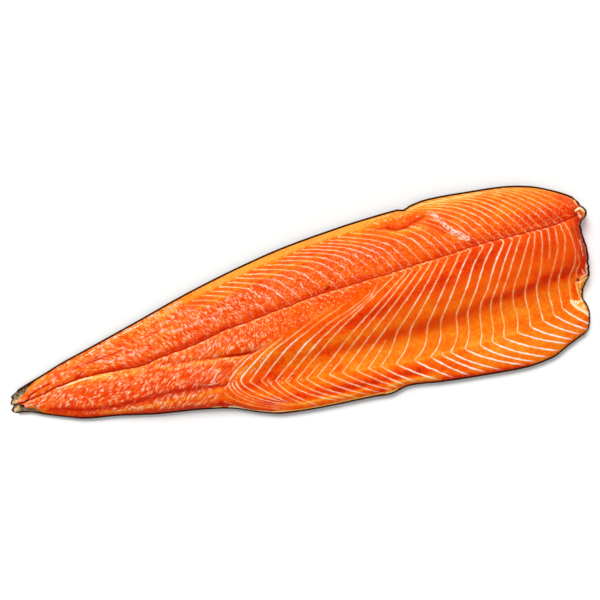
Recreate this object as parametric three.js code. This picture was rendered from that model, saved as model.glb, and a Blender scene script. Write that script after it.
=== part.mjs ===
// A smoked salmon side: one cured fillet that lies skin side down.
// Millimetres, +Z up. The tail points to -X, the head end to +X, the back edge is towards +Y and the
// belly edge towards -Y. The origin is on the underside, below the middle of the outline.
//
// Two solids: the skin, a thin tray that curves up round the long edges, and the flesh that fills it.

import * as THREE from 'three';

// ---- Driving dimensions ------------------------------------------------------------------------

const LENGTH = 600;
const WIDTH = 186;
const THICKEST = 30; // at the loin, in front of the back fin
const SKIN_THICKNESS = 1.3;
const GAP = 0.3; // between the skin and the flesh, so that the two solids never share a face
const STATIONS = 50; // steps along the length
const END_CROWDING = 0.06; // how much closer the steps are near both ends
const END_STATIONS = 6; // steps over which the rows spread out to the ragged ends
const END_BASE = 288; // x of the ends before that
const HEAD_LEDGE = 2.4; // width of skin that shows beyond the flesh at the head end
const TAIL_BARE = 23; // length of skin at the tail from which the flesh draws back
const HEAD_CORNER = 290; // x of the back edge's corner at the head end
const HEAD_INSET = 1; // how much further in the flesh starts there
const TAIL_INSET = 4.8; // how much further in the flesh starts at the tail's tip
const BILGE = 0.2; // share of each half's width over which the skin curves up to its rim
const HEAD_ROUNDING = 6; // length over which the top rounds over into the cut face at the head end
const HEAD_CUT = 0.72; // height of the cut face, as a share of the flesh behind it

// ---- Curves along the length: [x, value] -------------------------------------------------------

// The back edge, with a small notch behind the back fin's seat.
const BACK_EDGE = [
  [-290, 11], [-280, 14.3], [-260, 20], [-220, 31.5], [-160, 47.5], [-100, 63.5], [-40, 76.5],
  [0, 82.5], [40, 86.5], [80, 89.3], [118, 90.4], [124, 88.8], [132, 91.2], [147, WIDTH / 2],
  [200, 89.4], [225, 86.8], [250, 80.5], [270, 71.3], [288, 61], [293, 55],
];

// The belly edge, with the bulge of the belly flap in front of the vent.
const BELLY_EDGE = [
  [-291, -11.5], [-270, -18.5], [-250, -26.5], [-230, -33.3], [-200, -38], [-160, -46.5],
  [-120, -52.5], [-90, -59], [-60, -71], [-40, -77], [0, -81], [50, -83.5], [66, -85], [86, -81.5],
  [120, -86], [160, -90], [205, -WIDTH / 2], [230, -90.3], [250, -82], [266, -75.5],
];

// The lateral line: the groove between the back's muscle and the belly's.
const LATERAL_LINE = [
  [-290, 0], [-262, 2], [-210, 7], [-165, 4.5], [-140, 8], [-105, 12], [-80, 17], [-40, 21.5],
  [0, 26], [30, 29], [75, 30.5], [150, 34.5], [200, 37], [250, 36.5], [291, 40],
];

// The line along which the belly's muscle turns from the thick wall into the thin flap.
const FLAP_LINE = [
  [-290, -7], [-250, -19], [-200, -29.5], [-150, -30], [-90, -34.5], [-52, -40], [-20, -48],
  [12, -50.5], [65, -56], [115, -59.5], [166, -60], [204, -57], [243, -48], [270, -38],
];

// The second groove of the tail, between its middle and lower muscle.
const LOWER_GROOVE = [
  [-250, -4], [-190, 0], [-150, 0], [-120, -3], [-80, -8], [-55, -10.5], [-30, -7],
];

// Thickness of the whole side under its crown.
const THICKNESS = [
  [-300, 4.5], [-275, 8], [-250, 11], [-200, 15.5], [-150, 19], [-100, 22], [-50, 25], [0, 27.5],
  [60, 29.2], [120, THICKEST], [180, THICKEST], [230, 28], [270, 24.5], [300, 20],
];

// Height of the skin's rim at the back edge and at the belly edge.
const BACK_RIM = [[-300, 3], [-250, 4.5], [-150, 6.5], [0, 8], [150, 9], [260, 8], [300, 6.5]];
const BELLY_RIM = [[-300, 3], [-200, 4.5], [0, 4.8], [200, 4.8], [300, 4.2]];

// ---- Profiles across the width -----------------------------------------------------------------

// Height as a share of the thickness, from the lateral line (0) to the back edge (1).
const BACK_PROFILE = [[0, 0.92], [0.2, 0.98], [0.4, 1], [0.65, 0.95], [0.85, 0.82], [1, 0.64]];

// The same from the lateral line (0) to the belly edge (1): the tail is round, the body steps down
// from its thick wall to the belly flap.
const TAIL_PROFILE = [[0, 0.92], [0.2, 0.97], [0.5, 0.95], [0.8, 0.8], [1, 0.56]];
const BODY_PROFILE = [
  [0, 0.92], [0.12, 0.96], [0.28, 0.91], [0.4, 0.79], [0.58, 0.5], [0.72, 0.42], [0.85, 0.4],
  [1, 0.28],
];
const TAIL_TO_BODY = [-110, -30]; // where the first profile turns into the second

// The ragged ends: [share of the width from the belly edge, x].
const HEAD_END = [
  [0, 266], [0.03, 272], [0.076, 275.5], [0.153, 279], [0.229, 277], [0.282, 275], [0.344, 279],
  [0.397, 283], [0.427, 288], [0.504, 289], [0.557, 291], [0.64, 292], [0.733, 290], [0.81, 291],
  [0.855, 296], [0.893, LENGTH / 2], [0.947, 297.5], [1, 293],
];
const TAIL_END = [
  [0, -291], [0.15, -LENGTH / 2], [0.3, -298], [0.4, -294], [0.5, -299], [0.7, -298],
  [0.85, -296], [1, -290],
];
const FLESH_TAIL_END = [
  [0, -288], [0.2, -291], [0.4, -287.5], [0.5, -291.5], [0.85, -291.5], [1, -289.5],
];

// Places of the rows of vertices across the width, from the belly edge (-1) to the back edge (1).
const SHELL_ROWS = [
  -1, -0.98, -0.94, -0.88, -0.8, -0.7, -0.54, -0.44, -0.31, -0.2, -0.14, 0.1, 0.4, 0.62, 0.71,
  0.786, 0.89, 0.95, 0.985, 1,
];

// The flesh's top has rows that follow its muscles: [belly edge, flap line], [flap line, lateral
// line], [lateral line, back edge], each as shares of that stretch.
const FLAP_ROWS = [0, 0.05, 0.16, 0.36, 0.58, 0.8];
const WALL_ROWS = [0, 0.12, 0.24, 0.36, 0.48, 0.6, 0.72, 0.84, 0.955];
const BACK_ROWS = [0, 0.06, 0.16, 0.3, 0.45, 0.6, 0.73, 0.84, 0.92, 0.975, 1];

// ---- Relief on the top -------------------------------------------------------------------------

const GROOVE_WIDTH = 4;
const LATERAL_DEPTH = [[-300, 0.6], [-250, 1.6], [-80, 2.2], [0, 1.4], [80, 0.9], [300, 0.8]];
const LOWER_DEPTH = [[-260, 0], [-180, 0.7], [-100, 1.4], [-65, 2], [-30, 0]];

// The seat of the back fin: a lip of flesh over a short crease.
const FIN_LIP = { x: 119, y: 80, long: 20, wide: 6, high: 2 };
const FIN_CREASE = { x: 120, y: 71, long: 18, wide: 3.5, high: -2 };

// ---- Helpers -----------------------------------------------------------------------------------

const clamp01 = (value) => Math.min(1, Math.max(0, value));
const mix = (a, b, t) => a + (b - a) * t;

function smoothstep(low, high, value) {
  const t = clamp01((value - low) / (high - low));
  return t * t * (3 - 2 * t);
}

// The slope of a smooth curve at each knot, none where the curve turns, so that it never overshoots.
function knotSlopes(knots) {
  const rises = knots.slice(1).map(([x, y], i) => (y - knots[i][1]) / (x - knots[i][0]));
  return knots.map((_, i) => {
    if (i === 0) return rises[0];
    if (i === rises.length) return rises[i - 1];
    const [before, after] = [rises[i - 1], rises[i]];
    return before * after <= 0 ? 0 : (2 * before * after) / (before + after);
  });
}

// A smooth function through the knots, level beyond its ends.
function curve(knots) {
  const slopes = knotSlopes(knots);
  const last = knots.length - 1;
  return (x) => {
    if (x <= knots[0][0]) return knots[0][1];
    if (x >= knots[last][0]) return knots[last][1];
    const i = knots.findIndex(([at]) => at > x) - 1;
    const [[x0, y0], [x1, y1]] = [knots[i], knots[i + 1]];
    const [step, t] = [x1 - x0, (x - x0) / (x1 - x0)];
    const rise = (1 - t) * (slopes[i] * step * (1 - t) * t + y0 * (1 + 2 * t) * (1 - t));
    return rise + t * t * (y1 * (3 - 2 * t) - slopes[i + 1] * step * (1 - t));
  };
}

// Straight lines between the knots, for the torn ends.
function polyline(knots) {
  return (x) => {
    const i = Math.max(1, knots.findIndex(([at]) => at >= x));
    const [[x0, y0], [x1, y1]] = [knots[i - 1], knots[i]];
    return mix(y0, y1, clamp01((x - x0) / (x1 - x0)));
  };
}

const backEdge = curve(BACK_EDGE);
const bellyEdge = curve(BELLY_EDGE);
const lateralLine = curve(LATERAL_LINE);
const flapLine = curve(FLAP_LINE);
const lowerGroove = curve(LOWER_GROOVE);
const thickness = curve(THICKNESS);
const backRim = curve(BACK_RIM);
const bellyRim = curve(BELLY_RIM);
const backProfile = curve(BACK_PROFILE);
const tailProfile = curve(TAIL_PROFILE);
const bodyProfile = curve(BODY_PROFILE);
const lateralDepth = curve(LATERAL_DEPTH);
const lowerDepth = curve(LOWER_DEPTH);
const headEnd = polyline(HEAD_END);
const skinTailEnd = polyline(TAIL_END);
const fleshTailEnd = polyline(FLESH_TAIL_END);

// ---- Plan: where a point of a surface lies, seen from above --------------------------------------

// Half of the outline drawn in by an inset, at one x. Both edges are never closer than that inset.
function edges(x, inset) {
  return { low: bellyEdge(x) + inset, high: backEdge(x) - inset };
}

// The flesh's inset: the skin's thickness and the gap, and more where the skin shows at both ends.
function fleshInset(x) {
  const tailBare = clamp01((-LENGTH / 2 + 9 + TAIL_BARE - x) / TAIL_BARE);
  const headBare = smoothstep(HEAD_CORNER - 25, HEAD_CORNER, x);
  return SKIN_THICKNESS + GAP + TAIL_INSET * tailBare + HEAD_INSET * headBare;
}

const OUTER = { inset: () => 0, headInset: 0, tailEnd: skinTailEnd };
const INNER = { inset: () => SKIN_THICKNESS, headInset: 0, tailEnd: skinTailEnd };
const FLESH = { inset: fleshInset, headInset: HEAD_LEDGE, tailEnd: fleshTailEnd };

// y on a row at one x. A row is a function of the edges there.
const plainRow = (share) => (x, { low, high }) => mix(low, high, (share + 1) / 2);
const flapRow = (share) => (x, { low }) => mix(low, Math.max(low, flapLine(x)), share);
const wallRow = (share) => (x) => mix(flapLine(x), lateralLine(x), share);
const backRow = (share) => (x, { high }) => mix(lateralLine(x), high, share);

// The x of one station. All rows share it, but for the few near each end that reach for the row's
// own end.
function stationX(i, start, end) {
  const even = i / STATIONS;
  const x = mix(-END_BASE, END_BASE, even - END_CROWDING * Math.sin(2 * Math.PI * even));
  const nearTail = clamp01(1 - i / END_STATIONS);
  const nearHead = clamp01(1 - (STATIONS - i) / END_STATIONS);
  return x + (start + END_BASE) * nearTail + (end - END_BASE) * nearHead;
}

// The points of one row, from the tail end to the head end.
function rowPoints(row, { inset, headInset, tailEnd }) {
  const shareAt = (x) => {
    const side = edges(x, inset(x));
    return clamp01((row(x, side) - side.low) / (side.high - side.low));
  };
  const start = tailEnd(shareAt(-LENGTH / 2 + 10));
  const end = headEnd(shareAt(LENGTH / 2 - 7)) - headInset;
  return Array.from({ length: STATIONS + 1 }, (_, i) => {
    const x = stationX(i, start, end);
    const side = edges(x, inset(x));
    return { x, y: row(x, side), ...side, end };
  });
}

// ---- Heights -------------------------------------------------------------------------------------

// A quarter ellipse: 0 at the flat, 1 at the rim, upright there.
const quarterRound = (share) => 1 - Math.sqrt(1 - clamp01(share) ** 2);

// The tray's surface, lifted off the ground by a floor thickness and rising to its rim.
function trayHeight({ x, y, low, high }, floor) {
  const across = (2 * (y - low)) / (high - low) - 1;
  const rim = across > 0 ? backRim(x) : bellyRim(x);
  return mix(floor, rim, quarterRound((Math.abs(across) - 1 + BILGE) / BILGE));
}

// A soft ridge along a line, of height 1 and about as wide as it says to each side.
const ridge = (distance, wide) => Math.exp(-((distance / wide) ** 2));

function bump({ x, y }, { x: cx, y: cy, long, wide, high }) {
  return high * ridge(x - cx, long) * ridge(y - cy, wide);
}

// The flesh's top before its edges are rounded.
function crownHeight(point) {
  const { x, y, low, high } = point;
  const line = lateralLine(x);
  const towardsBelly = (line - y) / (line - low);
  const body = smoothstep(...TAIL_TO_BODY, x);
  const belly = mix(tailProfile(towardsBelly), bodyProfile(towardsBelly), body);
  const share = y > line ? backProfile((y - line) / (high - line)) : belly;
  const lateral = lateralDepth(x) * ridge(y - line, GROOVE_WIDTH);
  const lower = lowerDepth(x) * ridge(y - lowerGroove(x), GROOVE_WIDTH);
  return thickness(x) * share - lateral - lower + bump(point, FIN_LIP) + bump(point, FIN_CREASE);
}

// 0 at an edge and 1 from a radius inwards, upright at the edge.
const shoulder = (distance, radius) => Math.sqrt(1 - (1 - clamp01(distance / radius)) ** 2);

function topHeight(point) {
  const { x, y, low, high, end } = point;
  const nearBack = high - y < y - low;
  const rim = nearBack ? backRim(x) : bellyRim(x);
  const radius = Math.min(nearBack ? 14 : 7, (high - low) / 3);
  const sides = shoulder(Math.min(high - y, y - low), radius);
  const headRound = mix(HEAD_CUT, 1, shoulder(end - x, HEAD_ROUNDING));
  return mix(rim, Math.max(rim, crownHeight(point) * headRound), sides);
}

// ---- Solids --------------------------------------------------------------------------------------

// A surface as rows of vertices, with a height for each.
function surface(rows, plan, height) {
  return rows.map((row) => rowPoints(row, plan).map((point) => {
    return new THREE.Vector3(point.x, point.y, height(point));
  }));
}

// Two triangles for each cell between rows, facing up, or down if turned.
function stitch(triangles, rows, turned) {
  for (let r = 0; r + 1 < rows.length; r += 1) {
    for (let s = 0; s + 1 < rows[r].length; s += 1) {
      const [a, b, c, d] = [rows[r][s], rows[r][s + 1], rows[r + 1][s + 1], rows[r + 1][s]];
      if (turned) triangles.push([a, c, b], [a, d, c]);
      else triangles.push([a, b, c], [a, c, d]);
    }
  }
}

// Closes one end between the top's and the bottom's end points. It faces -X, or +X if turned.
function closeEnd(triangles, top, bottom, turned) {
  const ring = [...bottom, ...top.slice().reverse()];
  const outline = ring.map(({ y, z }) => new THREE.Vector2(y, z));
  for (const [a, b, c] of THREE.ShapeUtils.triangulateShape(outline, [])) {
    const [p, q, r] = [ring[a], ring[b], ring[c]];
    const facesHead = new THREE.Vector3().crossVectors(
      new THREE.Vector3().subVectors(q, p), new THREE.Vector3().subVectors(r, p)).x > 0;
    triangles.push(facesHead === turned ? [p, q, r] : [p, r, q]);
  }
}

function solid(triangles) {
  const flat = triangles.flat().flatMap(({ x, y, z }) => [x, y, z]);
  const geometry = new THREE.BufferGeometry();
  geometry.setAttribute('position', new THREE.Float32BufferAttribute(flat, 3));
  geometry.computeVertexNormals();
  return geometry;
}

const firstOf = (rows) => rows.map((row) => row[0]);
const lastOf = (rows) => rows.map((row) => row[row.length - 1]);

// The skin: an outer and an inner sheet, joined by the rim along both long edges and by both ends.
function skinGeometry() {
  const rows = SHELL_ROWS.map(plainRow);
  const outer = surface(rows, OUTER, (point) => trayHeight(point, 0));
  const inner = surface(rows, INNER, (point) => trayHeight(point, SKIN_THICKNESS));
  const triangles = [];
  stitch(triangles, outer, true);
  stitch(triangles, inner, false);
  stitch(triangles, [outer[0], inner[0]], false);
  stitch(triangles, [inner[rows.length - 1], outer[rows.length - 1]], false);
  closeEnd(triangles, firstOf(inner), firstOf(outer), false);
  closeEnd(triangles, lastOf(inner), lastOf(outer), true);
  return solid(triangles);
}

// The flesh: its top follows the muscles, and its underside lies in the skin's tray.
function fleshGeometry() {
  const topRows = [...FLAP_ROWS.map(flapRow), ...WALL_ROWS.map(wallRow), ...BACK_ROWS.map(backRow)];
  const top = surface(topRows, FLESH, topHeight);
  const under = surface(SHELL_ROWS.map(plainRow), FLESH,
    (point) => trayHeight(point, SKIN_THICKNESS + GAP));
  const triangles = [];
  stitch(triangles, top, false);
  stitch(triangles, under, true);
  closeEnd(triangles, firstOf(top), firstOf(under), false);
  closeEnd(triangles, lastOf(top), lastOf(under), true);
  return solid(triangles);
}

// ---- Materials and assembly ------------------------------------------------------------------------

const fleshMaterial = new THREE.MeshStandardMaterial({ color: 0xf97b37, roughness: 0.32, metalness: 0 });
const skinMaterial = new THREE.MeshStandardMaterial({ color: 0x3d3a30, roughness: 0.45, metalness: 0.1 });

function piece(name, geometry, material) {
  const mesh = new THREE.Mesh(geometry, material);
  mesh.name = name;
  return mesh;
}

const salmonSide = new THREE.Group();
salmonSide.name = 'salmon_side';
salmonSide.add(piece('skin', skinGeometry(), skinMaterial));
salmonSide.add(piece('flesh', fleshGeometry(), fleshMaterial));

export default salmonSide;
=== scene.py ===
"""The looks of a smoked salmon side: its wet, grooved flesh with pale flake lines, and its dark skin."""

import math

import bpy
import numpy as np
from mathutils import Matrix, Vector


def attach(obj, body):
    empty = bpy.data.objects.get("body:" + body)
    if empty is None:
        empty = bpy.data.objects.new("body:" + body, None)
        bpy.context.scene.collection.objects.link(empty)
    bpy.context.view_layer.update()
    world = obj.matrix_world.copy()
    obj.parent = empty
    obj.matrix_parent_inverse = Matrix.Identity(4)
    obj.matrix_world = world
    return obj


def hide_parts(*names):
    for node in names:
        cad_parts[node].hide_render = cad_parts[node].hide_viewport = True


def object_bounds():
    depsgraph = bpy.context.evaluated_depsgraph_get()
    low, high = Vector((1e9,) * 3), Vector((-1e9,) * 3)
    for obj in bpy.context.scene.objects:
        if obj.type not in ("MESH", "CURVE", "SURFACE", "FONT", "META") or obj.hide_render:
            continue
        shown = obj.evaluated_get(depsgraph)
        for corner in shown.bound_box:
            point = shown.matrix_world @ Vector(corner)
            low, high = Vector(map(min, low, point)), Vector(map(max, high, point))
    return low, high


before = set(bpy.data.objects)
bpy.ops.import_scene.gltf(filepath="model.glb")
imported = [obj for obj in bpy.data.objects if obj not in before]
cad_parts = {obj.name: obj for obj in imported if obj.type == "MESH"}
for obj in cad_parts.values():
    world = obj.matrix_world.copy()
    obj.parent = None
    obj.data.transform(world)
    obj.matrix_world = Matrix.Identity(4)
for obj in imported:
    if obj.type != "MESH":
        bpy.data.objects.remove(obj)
cad_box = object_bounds()


# ---- Small tools -------------------------------------------------------------------------------------

def mix(a, b, t):
    """From a at 0 to b at 1."""
    return a + (b - a) * t


def ease(low, high, value):
    """0 up to low and 1 from high on, smooth between. Low may be the larger."""
    t = np.clip((value - low) / (high - low), 0, 1)
    return t * t * (3 - 2 * t)


def curve(knots):
    """A smooth function through the knots, level beyond its ends, that never overshoots."""
    kx, ky = np.array(knots, float).T
    step = np.diff(kx)
    rise = np.diff(ky) / step
    slope = np.concatenate([rise[:1], np.zeros(len(kx) - 2), rise[-1:]])
    alike = rise[:-1] * rise[1:] > 0
    total = np.where(alike, rise[:-1] + rise[1:], 1)
    slope[1:-1] = np.where(alike, 2 * rise[:-1] * rise[1:] / total, 0)

    def at(x):
        x = np.clip(x, kx[0], kx[-1])
        i = np.clip(np.searchsorted(kx, x, side="right") - 1, 0, len(step) - 1)
        t = (x - kx[i]) / step[i]
        low = (1 + 2 * t) * ky[i] + t * step[i] * slope[i]
        high = (3 - 2 * t) * ky[i + 1] - (1 - t) * step[i] * slope[i + 1]
        return (1 - t) ** 2 * low + t**2 * high

    return at


def polyline(knots):
    """Straight lines between the knots."""
    kx, ky = np.array(knots, float).T
    return lambda x: np.interp(x, kx, ky)


def noise(seed):
    """Smooth noise of two coordinates with features about 1 long, from about -1 to 1."""
    size = 256
    turns = np.random.default_rng(seed).random((size, size)) * 2 * math.pi

    def at(u, v):
        u, v = np.broadcast_arrays(np.asarray(u, float), np.asarray(v, float))
        iu, iv = np.floor(u).astype(int), np.floor(v).astype(int)
        fu, fv = u - iu, v - iv

        def corner(du, dv):
            turn = turns[(iu + du) % size, (iv + dv) % size]
            return np.cos(turn) * (fu - du) + np.sin(turn) * (fv - dv)

        wu, wv = (f**3 * (f * (f * 6 - 15) + 10) for f in (fu, fv))
        low = mix(corner(0, 0), corner(1, 0), wu)
        high = mix(corner(0, 1), corner(1, 1), wu)
        return 1.5 * mix(low, high, wv)

    return at


def distance_to(path, x, y):
    """Distance from each point to a path of given points."""
    best = np.full(np.shape(x), np.inf)
    for (ax, ay), (bx, by) in zip(path[:-1], path[1:]):
        dx, dy = bx - ax, by - ay
        t = np.clip(((x - ax) * dx + (y - ay) * dy) / (dx * dx + dy * dy), 0, 1)
        best = np.minimum(best, np.hypot(x - ax - t * dx, y - ay - t * dy))
    return best


def bell(distance, wide):
    """1 at no distance, fading to nothing about twice the width away."""
    return np.exp(-((distance / wide) ** 2))


def stroke(path, wide, x, y):
    """1 on a path, fading with the distance from it."""
    return bell(distance_to(path, x, y), wide)


def with_strokes(total, table, x, y):
    """The total with every stroke of a table added: its path, width and change."""
    for path, wide, change in table:
        total = total + change * stroke(path, wide, x, y)
    return total


def painted(table, x, y):
    """The strongest of a table's strokes at each point."""
    return np.maximum.reduce([strength * stroke(path, wide, x, y) for path, wide, strength in table])


# ---- Sizes, in millimetres, in the CAD's frame -------------------------------------------------------

MM = 0.001
TAIL_TIP = float(cad_box[0][0]) / MM
SKIN_THICKNESS = 1.3
GAP = 0.3  # between the skin and the flesh
BILGE = 0.2  # share of each half's width over which the skin curves up
BACK_ROUNDING = 14  # how far in from each edge the flesh rounds over
BELLY_ROUNDING = 6
HEAD_ROUNDING = 6
HEAD_CUT = 0.72  # height of the cut face at the head end, as a share of the flesh behind it
END_SHARE = 0.12  # share of the length over which rows reach for a ragged end
END_BASE = 288  # x of both ends before that
HEAD_FRAY = 0.7  # how far the rows' head ends stray
TAIL_READ = 10  # how far in from the tail's tip a row's share of the width is read
DIP_WIDTH = 4  # of both grooves
LATERAL_CUT_WIDTH = 0.9  # of the narrow cut at the bottom of each
LOWER_CUT_WIDTH = 1
WRINKLE_HEIGHT = 0.25

# How fine the meshes are: steps along the length, rows across it and levels down a cut.
STATIONS, SKIN_STATIONS = 560, 420
FLAP_ROWS, WALL_ROWS, BACK_ROWS = 26, 74, 54
UNDER_ROWS, SKIN_ROWS = 9, 64
CUT_LEVELS = 7

# Curves along the length: (x, value).
back_edge = curve([
    (-290, 11.5), (-280, 14.8), (-260, 20.7), (-240, 27), (-220, 32), (-160, 47.5), (-100, 63.3), (-40, 76),
    (0, 82.5), (40, 86.5), (80, 89.3), (118, 90.4), (124, 88.8), (132, 91.2), (147, 93),
    (200, 89.2), (225, 86.4), (250, 80.3), (270, 71.3), (287.5, 60.6), (293, 55),
])
belly_edge = curve([
    (-291, -11), (-282, -13), (-270, -18.3), (-250, -26.2), (-230, -33), (-200, -38), (-160, -46.5),
    (-120, -52.5), (-90, -59), (-60, -71), (-40, -77), (0, -81), (50, -83.5), (66, -85),
    (86, -81.5), (120, -86), (160, -90), (205, -93), (230, -90.3), (250, -82), (266, -75.5),
])
lateral_line = curve([
    (-296, -2.2), (-286, -1.6), (-278, -0.5), (-268, 0.6), (-260, 2.4), (-252, 4.2), (-240, 5.6),
    (-225, 7.2), (-210, 7), (-165, 4.5), (-140, 8), (-105, 12), (-80, 17), (-40, 21.5),
    (0, 26), (30, 29), (75, 30.5), (150, 34.5), (200, 37), (250, 36.5), (291, 40),
])
flap_line = curve([
    (-290, -7), (-250, -19), (-200, -29.5), (-150, -30), (-90, -34.5), (-52, -40), (-20, -48),
    (12, -50.5), (65, -55.4), (115, -59), (166, -59.7), (204, -56.6), (243, -48), (270, -38),
])
lower_groove = curve([
    (-250, -4), (-190, 0), (-150, 0), (-120, -3), (-80, -8), (-55, -10.5), (-30, -7),
])
vertex_line = curve([  # where the back's flake lines turn, pointing at the tail
    (-290, 5), (-250, 14), (-200, 24), (-160, 33), (-130, 43), (-106, 52.5), (-83, 58), (-70, 60.5),
    (-50, 65), (-28, 69), (-4, 72.5), (16, 75.5), (37, 77.5), (60, 79), (100, 81), (200, 83),
    (250, 75), (290, 56),
])
thickness = curve([
    (-300, 4.5), (-275, 8), (-250, 11), (-200, 15.5), (-150, 19), (-100, 22), (-50, 25),
    (0, 27.5), (60, 29), (120, 29.3), (180, 29.3), (230, 27.8), (270, 24.5), (300, 20),
])
back_rim = curve([(-300, 3), (-250, 4.5), (-150, 6.5), (0, 8), (150, 9), (260, 8), (300, 6.5)])
belly_rim = curve([(-300, 3), (-200, 4.5), (0, 4.8), (200, 4.8), (300, 4.2)])

# Heights across the width, as shares of the thickness, from the lateral line (0) to an edge (1).
back_profile = curve([(0, 0.945), (0.2, 0.985), (0.4, 1), (0.65, 0.95), (0.85, 0.82), (1, 0.64)])
tail_profile = curve([(0, 0.945), (0.2, 0.97), (0.5, 0.95), (0.8, 0.8), (1, 0.56)])
body_profile = curve([
    (0, 0.945), (0.12, 0.96), (0.28, 0.91), (0.4, 0.79), (0.58, 0.5), (0.72, 0.42), (0.85, 0.4),
    (1, 0.28),
])

# The ragged head end: (y, x) along it.
head_end = polyline([
    (-75.5, 267), (-70.6, 273.4), (-65, 275.7), (-60.4, 277.2), (-53, 278.3), (-48.3, 277.5),
    (-42.8, 276), (-39.1, 274.8), (-31.7, 277.5), (-26.1, 281.7), (-21, 287), (-16, 287.9), (-10.4, 289.3),
    (-7.6, 288.9), (-3, 290.7), (9, 291.6), (18, 290.4), (30.3, 290.8), (33.5, 292.8), (35.9, 296),
    (38, 298.6), (40.5, 300), (43, 300), (46, 298.4), (48.8, 295.7), (53.4, 294), (61, 288),
])
# The ragged tail ends: (share of the width from the belly edge, x) along them.
skin_tail_end = polyline([
    (0, -293), (0.08, -298.5), (0.18, -300), (0.29, -298), (0.39, -296), (0.48, -299.5), (0.6, -298),
    (0.69, -296.3), (0.78, -297.3), (0.85, -295.5), (0.93, -291.5), (1, -289),
])
flesh_tail_end = polyline([
    (0, -283), (0.12, -286), (0.4, -286.5), (0.48, -291.5), (0.85, -291.5), (1, -289.5),
])
# How much skin shows beyond the flesh at the head end: (y, ledge).
head_ledge = curve([(-45, 2), (-15, 3), (61, 3)])
# How far the flesh draws back from the outline: most at the tail's tip, where the skin shows.
back_inset = curve([(-291, 9.8), (-285, 8.2), (-280, 5), (-275, 3.2), (-266, 1.8), (265, 1.8), (290, 2.2)])
belly_inset = curve([(-291, 4), (-284, 3.8), (-278, 4.4), (-274, 3.2), (-266, 1.5), (265, 1.5), (290, 2)])

# Flake lines of the belly: x of each one's turn on the flap line, from the tail to the head.
TURNS = [
    -104, -94, -85.5, -82, -78, -73, -64.5, -53, -47.5, -40, -30.3, -20.3, -9.7, 0.3, 12.7, 25.8, 39.3,
    51.8, 64.2, 79.2, 97.7, 114.5, 125.5, 134.2, 148.7, 164.3, 176.5, 188.2, 202.8, 216.7, 230.3, 235.8,
    241.3, 251.7, 262.2, 270.5,
]
# Some lines show over a part of their way only: {turn: (lowest, highest height above the turn)}.
PARTIAL = {
    -104: (-90, 16), -82: (-90, 0), -78: (-90, 0), -53: (-4, 200), -47.5: (-90, 0), -9.7: (-90, 11),
    51.8: (-90, 23), 125.5: (-90, 0), 235.8: (52, 200),
}

# How far forward a line has run at each height above its turn, where it starts from (0, 0). The lines
# between these are blends of them.
ARMS = {
    -104: [(11, 16), (22, 36), (31, 54), (37, 74)],
    -85.5: [(3, 2), (7, 5.5), (14, 15.5), (20, 25.5), (24, 35.5), (28, 46), (36, 62)],
    -73: [(3, 0.5), (9, 7), (16.5, 18), (26.5, 35), (33, 50)],
    -64.5: [(7.5, 8.5), (17.5, 20.5), (24, 30), (36, 58), (47, 85), (60, 118)],
    -40: [(18, 25), (29, 40), (36, 54), (43, 68), (49, 87), (60, 112)],
    -20.3: [(22, 31), (35, 49.5), (58.5, 89.5), (80, 128)],
    12.7: [(10, 14), (32, 41.5), (50, 66), (80, 106)],
    39.3: [(8, 9.5), (33, 39.5), (58.5, 69.5), (83.5, 97.5)],
    64.2: [(8.5, 9.5), (15, 15), (22, 19.8), (27, 22.5), (43.5, 39.5), (65, 61), (87.5, 81.5)],
    97.7: [(8, 10.5), (18, 17), (29, 20.5), (42.5, 30.5), (69.5, 51.5), (92, 70)],
    134.2: [(10, 8), (20, 12), (32, 13.5), (43, 20), (60, 32), (77, 42), (92.5, 56)],
    164.3: [(10, 4), (28, 7), (38, 10), (50, 19), (75, 34), (92, 47)],
    202.8: [(16, 3.7), (27, 3.2), (37, 4.6), (47, 9), (57, 15.5), (74, 26), (92, 36.5)],
    230.3: [(25, 0.3), (32, 1.4), (39, 4.3), (45, 8), (62, 14), (76, 18), (84, 19)],
    241.3: [(6, 0.9), (20, 0.6), (30, 3.2), (41, 9), (53, 15.9), (65, 20.8), (78, 22.3)],
    251.7: [(12, 0.6), (21, 1.4), (31, 4), (37, 7.6), (47, 12.5), (57, 16.4), (69, 19.4), (77, 18.2)],
    262.2: [(7, 0.4), (19, 2.2), (24, 3.6), (34, 11), (44, 15), (50, 16), (65, 14.9), (76, 12)],
    270.5: [(13, 0), (19, 1.8), (25, 3.3), (33, 8.7), (42, 9), (50, 12), (72, 12)],
}
# Below its turn a line runs forward by slope * depth + curl * depth ** 2: (x of the turn, value).
slope_below = curve([
    (-104, 0), (-85.5, 0), (-82, 0.08), (-78, 0.15), (-73, 0.5), (-64.5, 0.85), (-53, 0.6), (-47.5, 0.4),
    (-40, 0.4), (-30, 0.56), (-20, 0.69), (-9.5, 0.74), (0.3, 1.04), (12.7, 1.2), (26, 0.95),
    (39.3, 1.18), (52, 1.08), (64, 0.9), (79, 1.1), (98, 1.1), (115, 0.9), (149, 1), (164, 0.8),
    (203, 1.3), (217, 1), (241, 0.8),
])
curl_below = curve([
    (-85.5, 0.036), (-78, 0.035), (-73, 0.026), (-64.5, 0.007), (-53, 0.012), (-47.5, 0.015),
    (-40, 0.018), (-30, 0.0275), (-20, 0.0244), (-9.5, 0.0234), (0.3, 0.015), (12.7, 0.009),
    (26, 0.018), (39.3, 0.0055), (52, 0.006), (64, 0.015), (98, 0.006), (125, 0.015), (164, 0.028),
    (217, 0.028), (241, 0.02), (252, 0.01),
])

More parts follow.
